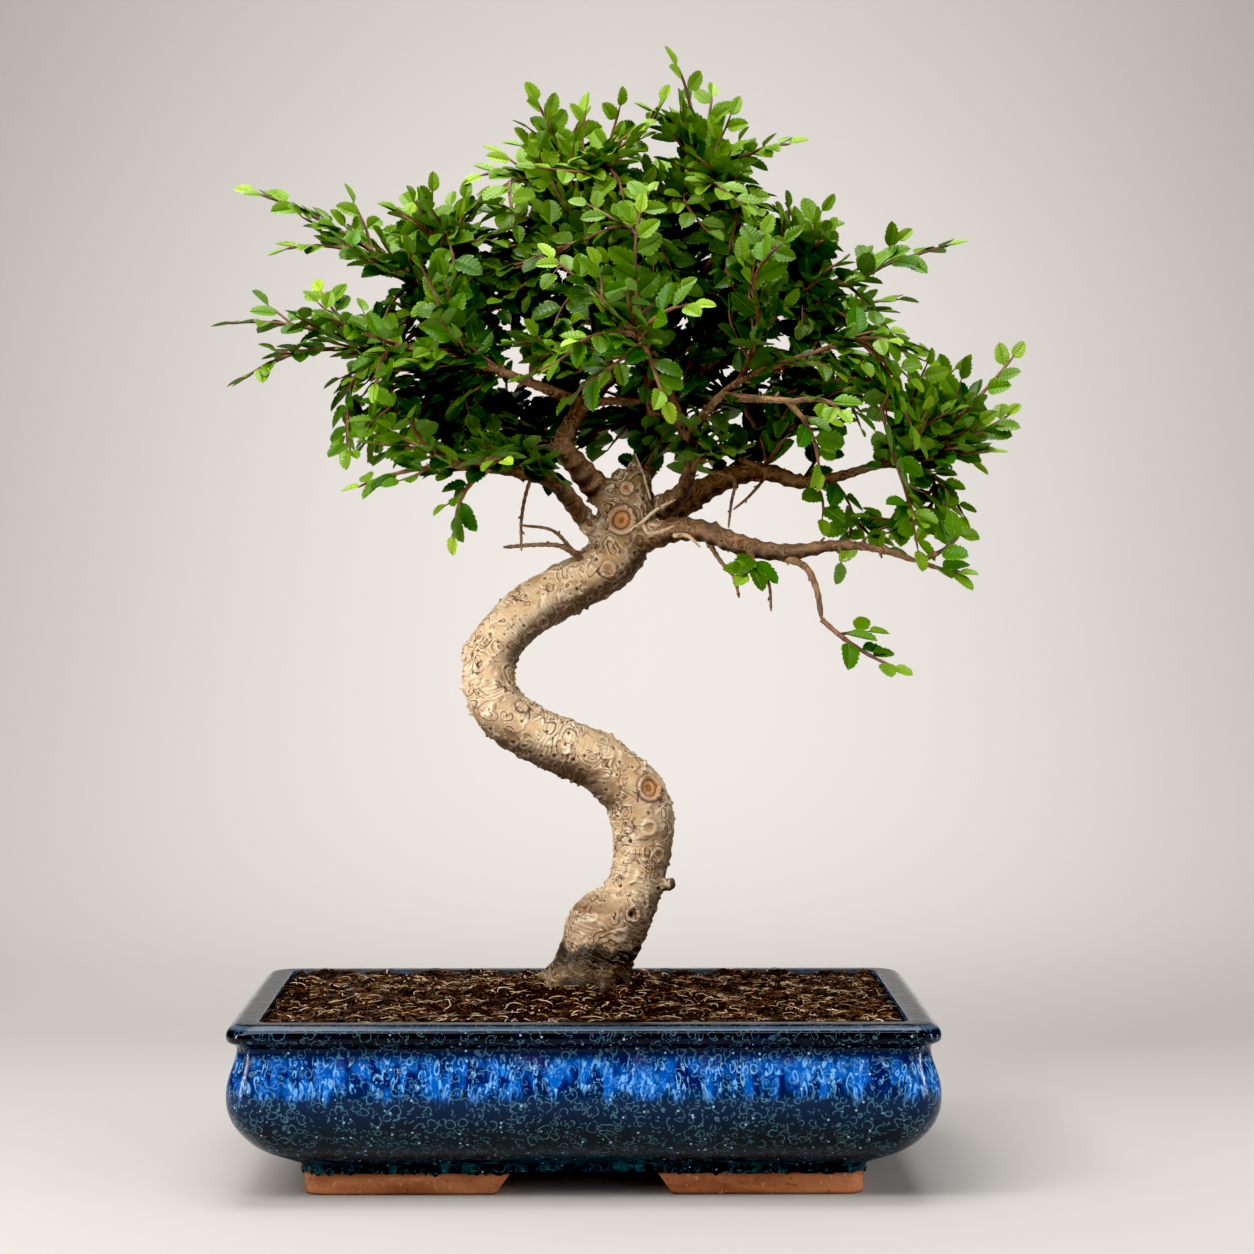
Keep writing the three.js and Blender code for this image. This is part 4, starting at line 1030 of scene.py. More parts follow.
def evenly(path, step=None, shares=None):
    """The path's points again, at equal steps or at these shares of its length."""
    reach = reach_along(path)
    if shares is None:
        shares = np.linspace(0, 1, max(2, round(reach[-1] / step) + 1))
    spots = np.asarray(shares) * reach[-1]
    return np.column_stack([np.interp(spots, reach, path[:, axis]) for axis in range(3)])


def flare_rings():
    """The swollen foot's level rings, whose outline bulges where thick roots leave it."""
    turns = np.arange(FLARE_SIDES) * 2 * math.pi / FLARE_SIDES
    bulge = np.sin(5 * turns + 0.8) + 0.6 * np.sin(3 * turns + 2.1)
    rings = []
    for height, radius, middle in FLARE_PROFILE:
        fade = min(1, max(0, (LOBE_TOP - height) / LOBE_FADE))
        reach = radius * (1 + fade * LOBE_REACH * bulge)
        level = np.full(FLARE_SIDES, height)
        rings.append(np.column_stack([middle + reach * np.cos(turns), reach * np.sin(turns), level]))
    return rings


def knotty(path, radii, pitch, swell=0.16):
    """The radii with low swellings where buds and old leaves sat, about a pitch apart."""
    return radii * (1 + swell * np.cos(reach_along(path) * 2 * math.pi / pitch) ** 6 - 0.03)


def thick_end(radii):
    """How many of a limb's points are in the thick wood."""
    thin = np.nonzero(radii < THIN_RADIUS)[0]
    return thin[0] + 3 if len(thin) else len(radii)


def smooth_step(values, low, high):
    share = np.clip((values - low) / (high - low), 0, 1)
    return share * share * (3 - 2 * share)


def noise_at(points, scale, offset):
    """Perlin noise between about -1 and 1 at every point."""
    moved = points * scale + offset
    return np.array([noise.noise(place) for place in moved.tolist()])


def tree_of(points):
    """The points as a tree that finds which of them are near a place."""
    tree = KDTree(len(points))
    for index, place in enumerate(points.tolist()):
        tree.insert(place, index)
    tree.balance()
    return tree


def curled_ridges(points, on_trunk):
    """Thin raised lines that curl over the bark, and the furrow at one side of each, sunk a little and
    painted dark as its shade.
    """
    shift = np.column_stack([noise_at(points, 0.24, 10.0 * axis + 2) for axis in range(3)])
    curled = points + 1.8 * shift
    parts = noise_at(points, 0.1, 77.0)
    broken = smooth_step(noise_at(points, 0.22, 61.0), -0.12, 0.08)
    ridge = np.zeros(len(points))
    furrow = np.zeros(len(points))
    broad = (0.17, 50.0, smooth_step(parts, -0.2, 0.02))
    fine = (0.27, 140.0, smooth_step(-parts, -0.12, 0.12))
    for scale, offset, patch in (broad, fine):
        lines = noise_at(curled, scale, offset)
        ridge = np.maximum(ridge, patch * np.exp(-(lines / 0.09) ** 2))
        furrow = np.maximum(furrow, patch * np.exp(-((lines - 0.2) / 0.07) ** 2))
    share = (0.5 + 0.5 * on_trunk) * broken
    return ridge * share, furrow * share


def bark_relief(points, normals):
    """How far each point of the bark stands out, and its marks, most of them from 0 to 1."""
    path, radii = curve_through(TRUNK, 1.0)
    core = tree_of(path)
    found = [core.find(place)[1:] for place in points.tolist()]
    nearest = np.array([index for index, _ in found])
    distance = np.array([away for _, away in found])
    on_trunk = smooth_step(distance / radii[nearest], 1.75, 1.25)
    on_trunk[points[:, 2] < FLARE_TOP] = 1
    outward = points - path[nearest]
    along = nearest + (outward * np.gradient(path, axis=0)[nearest]).sum(axis=1)
    outward /= np.maximum(distance, 0.1)[:, None]
    facing = normals + (outward - normals) * (0.75 * on_trunk)[:, None]
    curve = np.gradient(np.gradient(path, axis=0), axis=0)[nearest]
    bend = np.clip((outward * curve).sum(axis=1) * radii[nearest] * 1.4, 0, 1)
    wander = noise_at(points, 0.11, 4.0)
    low = smooth_step(points[:, 2], 118, 92)
    crease_depth = (0.06 + 0.42 * bend + 0.26 * low * smooth_step(wander, -0.1, 0.3)) * on_trunk
    phase = along * 2 * math.pi / CREASE_PITCH + 5 * wander + points[:, 2] * 0.2 * low
    out = crease_depth * (0.5 - np.abs(np.sin(phase / 2)))
    ridge, furrow = curled_ridges(points, on_trunk)
    out += ridge * (0.62 + 0.2 * low) - furrow * 0.35
    out += 0.38 * noise_at(points, 0.2, 5.0) + 0.5 * low * noise_at(points, 0.28, 21.0) * on_trunk
    out += 0.1 * noise_at(points, 0.9, 33.0)
    out *= 0.45 + 0.55 * on_trunk
    marks = {"pore": np.zeros(len(points)), "ridge": ridge, "furrow": furrow, "scar": np.zeros(len(points))}
    whole = tree_of(points)
    add_pores(points, on_trunk, whole, out, marks)
    add_scars(points, whole, out, marks)
    marks["pore"][(points[:, 0] > STUB_END) & (points[:, 2] < STUB_TOP)] = 0.8
    marks["limb"] = 1 - on_trunk
    # The underside mark: how far the bark faces down and a little to the right, where the finish paints
    # shade.
    marks["under"] = smooth_step(0.35 * facing[:, 0] - facing[:, 2], -0.1, 0.62)
    marks["along"] = along
    marks["bend"] = bend * on_trunk
    return out, marks


def add_pores(points, on_trunk, whole, out, marks):
    """Pits with a raised rim, and blunt nubs, scattered evenly over the bark."""
    centres = np.full((1, 3), 999.0)
    for index in trunk_draw.permutation(len(points))[:PORE_TRIES]:
        here = points[index]
        spread = PORE_SPACING * trunk_draw.uniform(0.4, 1.7)
        if np.linalg.norm(centres - here, axis=1).min() <= spread:
            continue
        centres = np.vstack([centres, here])
        is_nub = trunk_draw.random() < NUB_SHARE
        size = trunk_draw.uniform(*PORE_SIZES) * (0.7 + 0.3 * on_trunk[index])
        size *= NUB_GROWTH if is_nub else 1
        for _, near, away in whole.find_range(here, PORE_REACH):
            dip = math.exp(-(away / size) ** 2)
            rim = math.exp(-((away - 1.7 * size) / (0.5 * size)) ** 2)
            out[near] += NUB_HEIGHT * dip if is_nub else PORE_RIM * rim - PORE_DEPTH * dip
            marks["pore"][near] = max(marks["pore"][near], dip * (0.6 if is_nub else 1))
            marks["ridge"][near] = max(marks["ridge"][near], 0 if is_nub else 0.6 * rim)


def add_scars(points, whole, out, marks):
    """The healed lips, rings and holes of the cut scars, with the distance from each one's middle."""
    pore, ridge, furrow, scar = [marks[name] for name in ("pore", "ridge", "furrow", "scar")]
    cut = np.full(len(points), 3.0)
    for x, y, z, radius, hole, orange in KNOTS:
        for _, near, away in whole.find_range((x, y, z), radius * 2.4):
            share = away / radius
            lip = math.exp(-((share - 1) / 0.24) ** 2)
            middle = math.exp(-(share / 0.62) ** 2)
            rings = 0.3 * orange * math.cos(share * 13) * math.exp(-(share / 0.9) ** 4)
            plain = 1 - 0.85 * math.exp(-(share / 1.1) ** 4)
            pit = smooth_step(hole, 0.7, 2.2) * math.exp(-(share / 0.5) ** 4)
            heart = 0.9 * (orange > 0.5) * math.exp(-(share / 0.16) ** 2)
            cut[near] = min(cut[near], share)
            out[near] = out[near] * plain + (0.9 + 0.7 * orange) * lip - hole * middle + rings
            scar[near] = max(scar[near], orange * math.exp(-(share / 1.5) ** 8))
            ridge[near] = ridge[near] * plain + 0.7 * lip
            # Past the lip the furrow mark paints the lip's shadow as a dark ring.
            furrow[near] = max(furrow[near] * plain, 0.5 * math.exp(-((share - 1.4) / 0.2) ** 2))
            pore[near] = max(pore[near] * share / 2.4, pit, heart)
    marks["cut"] = cut


def bark_finish():
    bark = Finish("elm_bark", Roughness=0.75)
    place = bark.place
    pore, ridge, scar, cut, furrow, limb, under, along, bend = [bark.mark(name) for name in BARK_MARKS]
    height = bark.height()
    clouds = place.grain(55, 3, 0.6)
    mottle = place.grain(190, 3, 0.55)
    grain = place.grain(1300, 2, 0.6)
    away, chance = place.shaken(70, 0.012).cells(120)
    curl = away * 26 + chance * 12
    patch = place.grain(100, 2, 0.5).rise(0.43, 0.5) * chance.rise(0.2, 0.3)
    small_away, small_chance = place.shaken(120, 0.008).cells(230)
    small_curl = small_away * 18 + small_chance * 12
    spots = place.grain(120, 2, 0.5).rise(0.52, 0.46) * small_chance.rise(0.4, 0.5)
    # Strands are pale raised curls, and the dark band beside each is a painted shadow.
    strand = curl.sine().rise(0.5, 0.95) * patch
    strand += small_curl.sine().rise(0.5, 0.95) * spots
    painted_groove_shadow = (curl + 1.7).sine().rise(0.4, 0.95) * patch
    painted_groove_shadow += (small_curl + 1.7).sine().rise(0.4, 0.95) * spots
    wave = along * (2 * math.pi / WRINKLE_PITCH) + clouds * 16 + mottle * 5
    creased = bend * 0.8 + clouds.rise(0.45, 0.6) * 0.5
    wrinkle = wave.sine().rise(0.0, 1.0) * creased
    crease = wave.sine().rise(-0.3, -0.95) * creased
    # Painted shade: the underside mark darkens the bark to a shade colour, and light dims the painted
    # highlights there.
    light = 1 - under * 0.75
    pale = bark.mix(clouds.rise(0.32, 0.66), (192, 154, 107), (230, 204, 167))
    colour = bark.mix(mottle.rise(0.5, 0.75) * 0.3, pale, (186, 142, 94))
    colour = bark.mix(height.rise(244, 268) * 0.6, colour, (128, 94, 58))
    colour = bark.mix(height.rise(130, 85) * mottle.rise(0.35, 0.6) * 0.5, colour, (146, 106, 64))
    branch = bark.mix(mottle.rise(0.35, 0.65), (66, 42, 24), (146, 106, 72))
    colour = bark.mix(limb * 0.9, colour, branch)
    painted_underside_shade = bark.mix(limb, (48, 27, 7), (30, 17, 7))
    colour = bark.mix(under * 0.95, colour, painted_underside_shade)
    # Ridge and strand crests painted pale: partly paler bark, partly painted highlight, dimmed on the shaded
    # underside.
    crest = bark.mix(limb, (255, 240, 212), (178, 140, 100))
    colour = bark.mix((ridge * 0.6 + strand * 0.55) * light, colour, crest)
    # Painted highlight on the wrinkles' crests, and painted shade in their creases.
    colour = bark.mix(wrinkle * 0.3 * (1 - limb) * light, colour, (255, 242, 216))
    colour = bark.mix(crease * 0.45 * (1 - limb), colour, (134, 92, 50))
    # Painted shade in the furrows, and painted shadow beside the strands.
    colour = bark.mix(furrow * 0.6 + painted_groove_shadow * 0.7, colour, (112, 66, 26))
    circles = (cut * 15 + mottle * 6).sine().rise(0.1, 0.9) * cut.rise(1.05, 0.9)
    colour = bark.mix(scar * cut.rise(1.15, 0.95) * 0.7, colour, (176, 118, 66))
    colour = bark.mix(scar * cut.rise(0.75, 0.3), colour, (212, 142, 72))
    colour = bark.mix(scar * circles * 0.7, colour, (92, 52, 24))
    # A painted shadow: a dark ring just outside each scar's rolled lip.
    outline = cut.rise(1.05, 1.18) * cut.rise(1.42, 1.26)
    colour = bark.mix(outline * scar.rise(0.25, 0.45) * 0.75, colour, (92, 56, 28))
    colour = bark.mix(pore.rise(0.25, 0.75) * 0.88, colour, (58, 34, 18))
    colour = bark.mix(grain.rise(0.6, 0.78) * 0.14, colour, (140, 102, 66))
    damp = height + (clouds - 0.5) * 14 + (mottle - 0.5) * 12
    colour = bark.mix(damp.rise(122, 84) * 0.3, colour, (92, 62, 34))
    bare = clouds.rise(0.48, 0.6)
    colour = bark.mix(damp.rise(84, 79) * (0.85 - bare * 0.5), colour, (64, 42, 20))
    wet = damp.rise(77, 80) * damp.rise(88, 84.5)
    colour = bark.mix(wet * 0.92, colour, (22, 14, 8))
    stripes = (along * 2.6 + clouds * 24 + mottle * 14).sine().rise(0.45, 1)
    colour = bark.mix(stripes * height.rise(86, 80) * (0.25 + bare * 0.5), colour, (206, 168, 112))
    colour = bark.mix(damp.rise(77, 71.5) * 0.85, colour, (38, 25, 15))
    bark.feed(Base_Color=colour, Roughness=0.72 - ridge * 0.16 - wet * 0.3 + grain * 0.1)
    relief = strand * 0.32 - painted_groove_shadow * 0.14 + wrinkle * 0.3 - crease * 0.1 + mottle * 0.6 + grain * 0.05
    relief += stripes * height.rise(88, 82) * 0.5 - scar * circles * 0.3
    bark.bump(relief, BARK_RELIEF)
    return bark.material


def keep(mesh, name, values, domain="POINT"):
    """Keeps a number, or four as a colour, for each of the mesh's points or corners."""
    values = np.asarray(values, np.float32)
    kind, field = ("FLOAT", "value") if values.ndim == 1 else ("FLOAT_COLOR", "color")
    mesh.attributes.new(name, kind, domain).data.foreach_set(field, values.ravel())


def model_trunk():
    """Overlapping tubes grown into one skin, thinned out where it is plain, then given the bark's relief."""
    skin = Skin()
    skin.tube(*curve_through(TRUNK, TRUNK_STEP), TRUNK_SIDES)
    skin.add(*capped(flare_rings()))
    for rows in [*LIMBS.values(), *ROOTS, STUB]:
        path, radii = curve_through(rows, TRUNK_STEP)
        is_limb = rows[0][2] > STUB_TOP
        end = thick_end(radii) if is_limb else len(radii)
        if end > 3:
            swollen = knotty(path, radii, LIMB_JOINT, LIMB_SWELL if is_limb else 0)
            skin.tube(path[:end], swollen[:end], LIMB_SIDES)
    trunk = skin.piece("old_trunk", bark)
    apply_modifier(trunk, "REMESH", mode="VOXEL", voxel_size=VOXEL * MM, adaptivity=0)
    apply_modifier(trunk, "SMOOTH", factor=0.6, iterations=7)
    spare = trunk.vertex_groups.new(name="spare")
    path, radii = curve_through(TRUNK, TRUNK_STEP)
    heart = tree_of(in_frame(path))
    for vertex in trunk.data.vertices:
        _, index, away = heart.find(vertex.co)
        if away > radii[index] * SPARE_REACH * MM or vertex.co.z < BURIED_HEIGHT * MM:
            spare.add([vertex.index], 1, "REPLACE")
    apply_modifier(trunk, "DECIMATE", ratio=SPARE_SHARE, vertex_group="spare", vertex_group_factor=10)
    mesh = trunk.data
    count = len(mesh.vertices)
    points = np.empty(count * 3)
    normals = np.empty(count * 3)
    mesh.vertices.foreach_get("co", points)
    mesh.vertices.foreach_get("normal", normals)
    places = points.reshape(-1, 3) / MM - TREE_ORIGIN
    normals = normals.reshape(-1, 3)
    out, marks = bark_relief(places, normals)
    mesh.vertices.foreach_set("co", in_frame(places + normals * out[:, None]).ravel())
    for name in BARK_MARKS:
        keep(mesh, name, marks[name])
    mesh.update()
    bpy.ops.object.shade_smooth()
    return trunk


bark = bark_finish()
old_trunk = model_trunk()
take_over(old_trunk, "bark", "trunk")

# Branches: the elm's younger wood, which leaves the thick limbs and runs out to where the leaves start.
# Its bark is thinner and browner than the trunk's, and a few dead twigs hang bare under the crown.
# The last leaf of each spray: the crown's left, top, right, front and back, then the forked sprays' tips
SPRAY_TIPS = [
    (-135, -10, 382), (-121, -28, 357), (-148, 20, 331), (-140, 5, 306), (-94, -18, 263), (-54, -15, 239),
    (-92, 8, 354), (-72, 14, 377), (-48, 2, 388), (-22, 0, 422), (-2, 24, 416), (34, 5, 437),
    (51, 27, 427), (86, 10, 403), (66, -14, 374), (149, 5, 362), (171, -5, 321), (171, 0, 296),
    (162, -17, 279), (150, -12, 252), (150, -27, 229), (124, -34, 192), (61, -32, 226), (-30, -66, 274),
    (31, -84, 289), (-8, -84, 316), (46, -76, 334), (-18, -62, 354), (20, -54, 374), (60, -48, 352),
    (98, -84, 290), (14, -100, 338), (-68, -62, 294), (-58, -66, 330), (90, -56, 262), (120, -52, 320),
    (-102, -48, 330), (-112, 66, 350), (-78, 92, 322), (-40, 88, 352), (-100, 62, 292), (-8, 112, 320),
    (30, 100, 350), (-28, 62, 388), (20, 62, 402), (66, 74, 380), (98, 96, 330), (134, 62, 346),
    (138, 60, 298), (-48, 66, 280), (12, 2, 398), (-48, -8, 364), (4, -26, 346), (86, 4, 350),
    (-76, 22, 318),
]
FORKED_SPRAYS = 5
# Where a forked spray's three side shoots leave its twig
SHOOT_SHARES = (0.08, 0.3, 0.52)
SHOOT_LENGTH = 29
SPRAY_LENGTH = 50
LEAFY_SHARE = 0.66
TIP_LEAF = 7
TWIG_RADIUS = 0.95
TWIG_END_RADIUS = 0.5
BRANCH_RADIUS = 1.1
BRANCH_GROWTH = 0.008
BRANCH_SHARE = 0.6
TURN_COST = 0.45
ROUTE_LEAN = 0.6
ROUTE_RISE = 0.07
ROUTE_SWAY = 0.08
ROUTE_SWAY_STEP = 0.02
ROUTE_TRIES = 12
ROUTE_CLEARANCE = 3.2
ROUTE_STEPS = 200
ROUTE_SKIP = 5
FORK_SHARES = np.arange(5, 21) / 20
BRANCH_STEP = 1.5
BARK_JOINT = 7
UP = np.array([0, 0, 1.0])
# Torn strips of old bark that hang across the crotch: x, y, z and thickness
STRANDS = [
    [(9, -5.5, 249, 1.1), (14, -7.5, 247, 1.3), (20, -9, 250, 1.4), (27, -11, 256, 1.2),
     (34.5, -12, 260, 0.8)],
    [(19, -4, 278, 0.8), (22, -6, 270, 1), (25, -7, 260, 0.8)],
    [(22, -9.5, 250, 1.2), (24, -11.5, 247, 1.4), (30, -12.5, 248, 1.3), (34, -12, 250, 0.8)],
    [(34, -10, 246, 1.8), (39, -13, 246, 1.6), (44, -15, 241.5, 0.9)],
]
spur_draw = np.random.default_rng(63)


def sway(first, second, third):
    """A repeatable draw between -1 and 1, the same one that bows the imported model's sprays."""
    wave = math.sin(first * 12.9898 + second * 78.233 + third * 37.719) * 43758.5453
    return 2 * (wave - math.floor(wave)) - 1


def ways_along(path):
    """The way ahead at each of a path's points."""
    step = np.gradient(path, axis=0)
    return step / np.linalg.norm(step, axis=1)[:, None]


def limb_forks():
    """The places on the limbs that a branch may leave, with the limb's way and its radius there."""
    places, ways, thick = [], [], []
    for rows in LIMBS.values():
        path, radii = curve_through(rows, 0.5)
        share = np.linspace(0, 1, len(path))
        step = np.gradient(path, axis=0)
        places.append(evenly(path, shares=FORK_SHARES))
        ways.append(np.column_stack([np.interp(FORK_SHARES, share, step[:, axis]) for axis in range(3)]))
        thick.append(np.interp(FORK_SHARES, share, radii))
    ways = np.concatenate(ways)
    return np.concatenate(places), ways / np.linalg.norm(ways, axis=1)[:, None], np.concatenate(thick)


def bow(start, knee, end, shares):
    """A curve from start to end that leans towards the knee, at these shares of its length."""
    t = np.linspace(0, 1, ROUTE_STEPS + 1)[:, None]
    return evenly((1 - t) ** 2 * start + 2 * t * (1 - t) * knee + t * t * end, shares=shares)


def length_of(path):
    return np.linalg.norm(np.diff(path, axis=0), axis=1).sum()


def at_share(path, share):
    """The place and the way ahead at this share of a path's length."""
    near = evenly(path, shares=[max(0, share - 0.01), share, min(1, share + 0.01)])
    return near[1], unit(near[2] - near[0])


def spray_route(tip, number, attempt, forks):
    """A branch's way out of its limb to the tip, its length and the share of it that has no leaves."""
    places, ways, thick = forks
    reach = np.linalg.norm(tip - places, axis=1)
    facing = (ways * (tip - places)).sum(axis=1) / reach
    best = np.argmin(reach * (1 + TURN_COST - TURN_COST * facing))
    fork, distance = places[best], reach[best]
    way = unit(tip - fork)
    end = tip - way * TIP_LEAF
    lean = unit(ways[best] + (way - ways[best]) * ROUTE_LEAN)
    aside = unit(np.cross(way, UP)) * distance * (ROUTE_SWAY + ROUTE_SWAY_STEP * attempt)
    knee = fork + lean * distance * 0.5 + UP * distance * ROUTE_RISE * (1 + sway(number, attempt, 1))
    path = bow(fork, knee + aside * sway(number, attempt, 2), end, np.linspace(0, 1, ROUTE_STEPS + 1))
    length = length_of(path)
    start = 1 - min(SPRAY_LENGTH, LEAFY_SHARE * length) / length
    return {"path": path, "length": length, "start": start, "radius": thick[best]}


def routes_apart(one, other):
    """Neither route's leafy end comes near the other route."""
    for first, second in ((one, other), (other, one)):
        ends = first["path"][::ROUTE_SKIP][math.floor(first["start"] * (ROUTE_STEPS // ROUTE_SKIP)):]
        gaps = np.linalg.norm(ends[:, None] - second["path"][::ROUTE_SKIP][None], axis=2)
        if gaps.min() < ROUTE_CLEARANCE:
            return False
    return True


def spray_routes():
    """Each spray takes the first bow that keeps it apart from the sprays before it."""
    forks = limb_forks()
    made = []
    for number, tip in enumerate(SPRAY_TIPS):
        for attempt in range(ROUTE_TRIES):
            route = spray_route(np.array(tip, float), number, attempt, forks)
            if all(routes_apart(route, earlier) for earlier in made):
                break
        made.append(route)
    return made


def add_spurs(skin, path, radii, pitch, longest):
    """Short blunt stubs of old twigs and buds, set round a branch at about this pitch."""
    reach = length_of(path)
    spot = pitch * spur_draw.uniform(0.4, 1)
    while reach > 8 and spot < reach - 4:
        share = spot / reach
        foot, ahead = at_share(path, share)
        thick = np.interp(share, np.linspace(0, 1, len(radii)), radii)
        out = unit(np.cross(ahead, unit(spur_draw.normal(size=3))))
        way = unit(out + ahead * spur_draw.uniform(0.1, 0.8))
        long = thick + spur_draw.uniform(0.35, 1) * longest
        base = min(0.7 * thick, spur_draw.uniform(0.35, 0.75))
        line = np.array([foot, foot + way * long * 0.6, foot + (way + 0.25 * ahead) * long])
        skin.tube(line, np.array([base * 1.4, base, base * 0.6]), 6)
        spot += pitch * spur_draw.uniform(0.5, 1.6)


def model_branches():
    """The limbs' thin ends, the bare twigs, and the branches out to where each spray's leaves start."""
    skin = Skin()
    limbs = [curve_through(rows, BRANCH_STEP) for rows in LIMBS.values()]
    for path, radii in limbs:
        add_spurs(skin, path, radii, 10, 1.9)
    for path, radii in limbs:
        thin = np.nonzero(radii < THIN_RADIUS + 0.15)[0]
        if len(thin) == 0:
            continue
        first = max(0, thin[0] - 2)
        path, radii = path[first:], radii[first:].copy()
        radii[:4] *= (0.55, 0.75, 0.9, 0.97)
        radii[-2:] *= (0.8, 0.4)
        skin.tube(path, knotty(path, radii, 9), 10)
    for rows in BARE:
        path, radii = curve_through(rows, BRANCH_STEP)
        radii[-1] *= 0.5
        skin.tube(path, knotty(path, radii, 6, 0.3), 8)
        add_spurs(skin, path, radii, 6, 1.4)
    for route in routes:
        count = max(6, round(route["length"] * route["start"] / 1.6))
        path = evenly(route["path"], shares=np.linspace(0, route["start"], count))
        grown = BRANCH_RADIUS + route["length"] * BRANCH_GROWTH
        base = max(min(route["radius"] * BRANCH_SHARE, grown), TWIG_RADIUS)
        radii = np.linspace(base, TWIG_RADIUS, count)
        skin.tube(path, knotty(path, radii, BARK_JOINT, 0.28), 8)
        add_spurs(skin, path, radii, 8, 1.6)
    made = skin.piece("branches", bark)
    keep(made.data, "limb", np.ones(len(made.data.vertices)))
    return made


def model_strands():
    """The torn strips of bark, joined to the branches' finish by the same marks."""
    skin = Skin()
    for rows in STRANDS:
        path, radii = curve_through(rows, 1.0)
        radii[-1] *= 0.5
        skin.tube(path, knotty(path, radii, 5, 0.2), 8)
    made = skin.piece("bark_strands", bark)
    keep(made.data, "limb", np.full(len(made.data.vertices), 0.3))
    # The ridge mark lays the pale crest colour over the strip, partly a painted highlight.
    keep(made.data, "ridge", np.full(len(made.data.vertices), 0.5))
    return made


routes = spray_routes()
take_over(model_branches(), "bark", "trunk")
take_over(model_strands(), "bark", "trunk")

# Sprays: leafy twigs at the branches' ends, with side shoots that fill the crown between them.
# The leaves are small, oval and toothed, glossy above, alternate on the twig, and yellower when young.
LEAF_PITCH = 11
LEAF_BETWEEN = 2
LEAF_LENGTH = 13.2
LEAF_WIDTH = 8.2
LEAF_SHRINK = 0.32
LEAF_SIZE_SWAY = 0.08
LEAF_FOLD = (0.16, 0.42)
LEAF_DROOP = (0.02, 0.2)
LEAF_OPEN = 0.9
LEAF_OPEN_SWAY = 0.22
LEAF_LIFT = 0.12
LIGHT_SWAY = 0.35
FIRST_LEAF = 0.07
FIRST_SHOOT_LEAF = 0.16
LEAF_RELIEF = 0.00035
TWIG_RELIEF = 0.0002
SHOOT_PITCH = 5.8
SHOOT_SPACING = 14
SHOOT_TURNS = (0.75, 1.1)
SHOOT_RISES = (-0.15, 0.4)
SHOOT_LIGHT_SWAY = 0.42
SHOOT_LEAF_TURNS = (0.7, 1.15)
SHOOT_LEAF_RISES = (-0.1, 0.34)
LONGEST_SHOOT = 36
SHORTEST_SHOOT = 9
BARE_END = 22
INNER_LENGTH = 52
INNER_LEAFY = 38
INNER_FLOOR = 258
# The blade's rim on one side, from foot to tip: share of the length, share of the half width
LEAF_SHOULDER = [(0.09, 0.08), (0.16, 0.5), (0.25, 0.78), (0.36, 0.94)]
LEAF_TEETH = [0.49, 0.63, 0.76, 0.88]
TOOTH_STEP = 0.022
TOOTH_DEPTH = 0.2
# Leafy masses between the sprays: name, middle, half sizes and how many shoots end there
MASSES = [
    ("top", (16, 6, 374), (58, 50, 30), 120),
    ("left_top", (-46, 4, 352), (42, 54, 34), 110),
    ("left", (-66, 4, 312), (36, 54, 30), 86),
    ("low_left", (-60, 4, 284), (36, 46, 18), 46),
    ("middle", (14, 8, 338), (58, 60, 30), 120),
    ("right_top", (70, 6, 352), (38, 54, 32), 96),
    ("right", (92, 6, 310), (46, 60, 32), 96),
    ("far_right", (136, 6, 292), (26, 42, 28), 40),
    ("low_right", (118, -4, 250), (34, 34, 20), 16),
    ("crest", (30, 4, 403), (24, 12, 20), 20),
    ("left_crest", (-16, 2, 398), (12, 10, 16), 10),
    ("left_front", (-32, -28, 275), (22, 8, 9), 20),
    ("right_front", (48, -24, 281), (14, 8, 10), 9),
    ("crotch", (27, 6, 287), (9, 6, 8), 8),
    ("heart", (14, 40, 296), (76, 26, 32), 110),
    ("front", (6, -50, 314), (60, 20, 18), 26),
]
grow = np.random.default_rng(44)


def rim_points():
    """The blade's rim on one side, with its teeth."""
    points = list(LEAF_SHOULDER)
    for tooth in LEAF_TEETH:
        wide = math.sin(math.pi * tooth ** 1.05) ** 0.6
        points.append((tooth, wide))
        points.append((tooth + TOOTH_STEP, wide * (1 - TOOTH_DEPTH)))
    return points


def leaf_shape():
    """One blade: share of length, share of half width and lift of each point, with its faces' marks."""
    rim = rim_points()
    mid = [(0.3, 0.45), (0.7, 0.46)]
    points = [(0, 0, 0), (1, 0, 0)]
    rib, under = [0], [0]
    for share in (0.3, 0.68):
        points.append((share, 0, -0.012))
        rib.append(len(points) - 1)
        points.append((share, 0, -0.042))
        under.append(len(points) - 1)
    faces = []
    below = []
    for side in (1, -1):
        chains = []
        for rows, lift in ((mid, 0.02), (rim, 0)):
            chain = [0]
            for share, wide in rows:
                points.append((share, side * wide, lift))
                chain.append(len(points) - 1)
            chains.append(chain + [1])
        inner, outer = chains
        strips = ((rib + [1], inner, False), (inner, outer, False), (under + [1], outer, True))
        for low, high, is_under in strips:
            for face in zip_chains(points, low, high):
                turned = face if (side == 1) != is_under else face[::-1]
                faces.append(turned)
                below.append(is_under)
    return np.array(points, float), np.array(faces), np.array(below)


def zip_chains(points, low, high):
    """Triangles between two chains that share their ends."""
    i = j = 1
    faces = [(low[0], low[1], high[1])]
    while i < len(low) - 2 or j < len(high) - 2:
        if j >= len(high) - 2 or (i < len(low) - 2 and points[low[i + 1]][0] <= points[high[j + 1]][0]):
            faces.append((low[i], low[i + 1], high[j]))
            i += 1
        else:
            faces.append((low[i], high[j + 1], high[j]))
            j += 1
    faces.append((low[-2], low[-1], high[-2]))
    return faces


BLADE, BLADE_FACES, BLADE_UNDER = leaf_shape()
CROWN_MIDDLE = np.array([15, 5, 318])
CROWN_REACH = np.array([140, 90, 104])


def crown_share(place):
    """0 in the crown's middle, about 1 at its outside."""
    return np.linalg.norm((place - CROWN_MIDDLE) / CROWN_REACH)


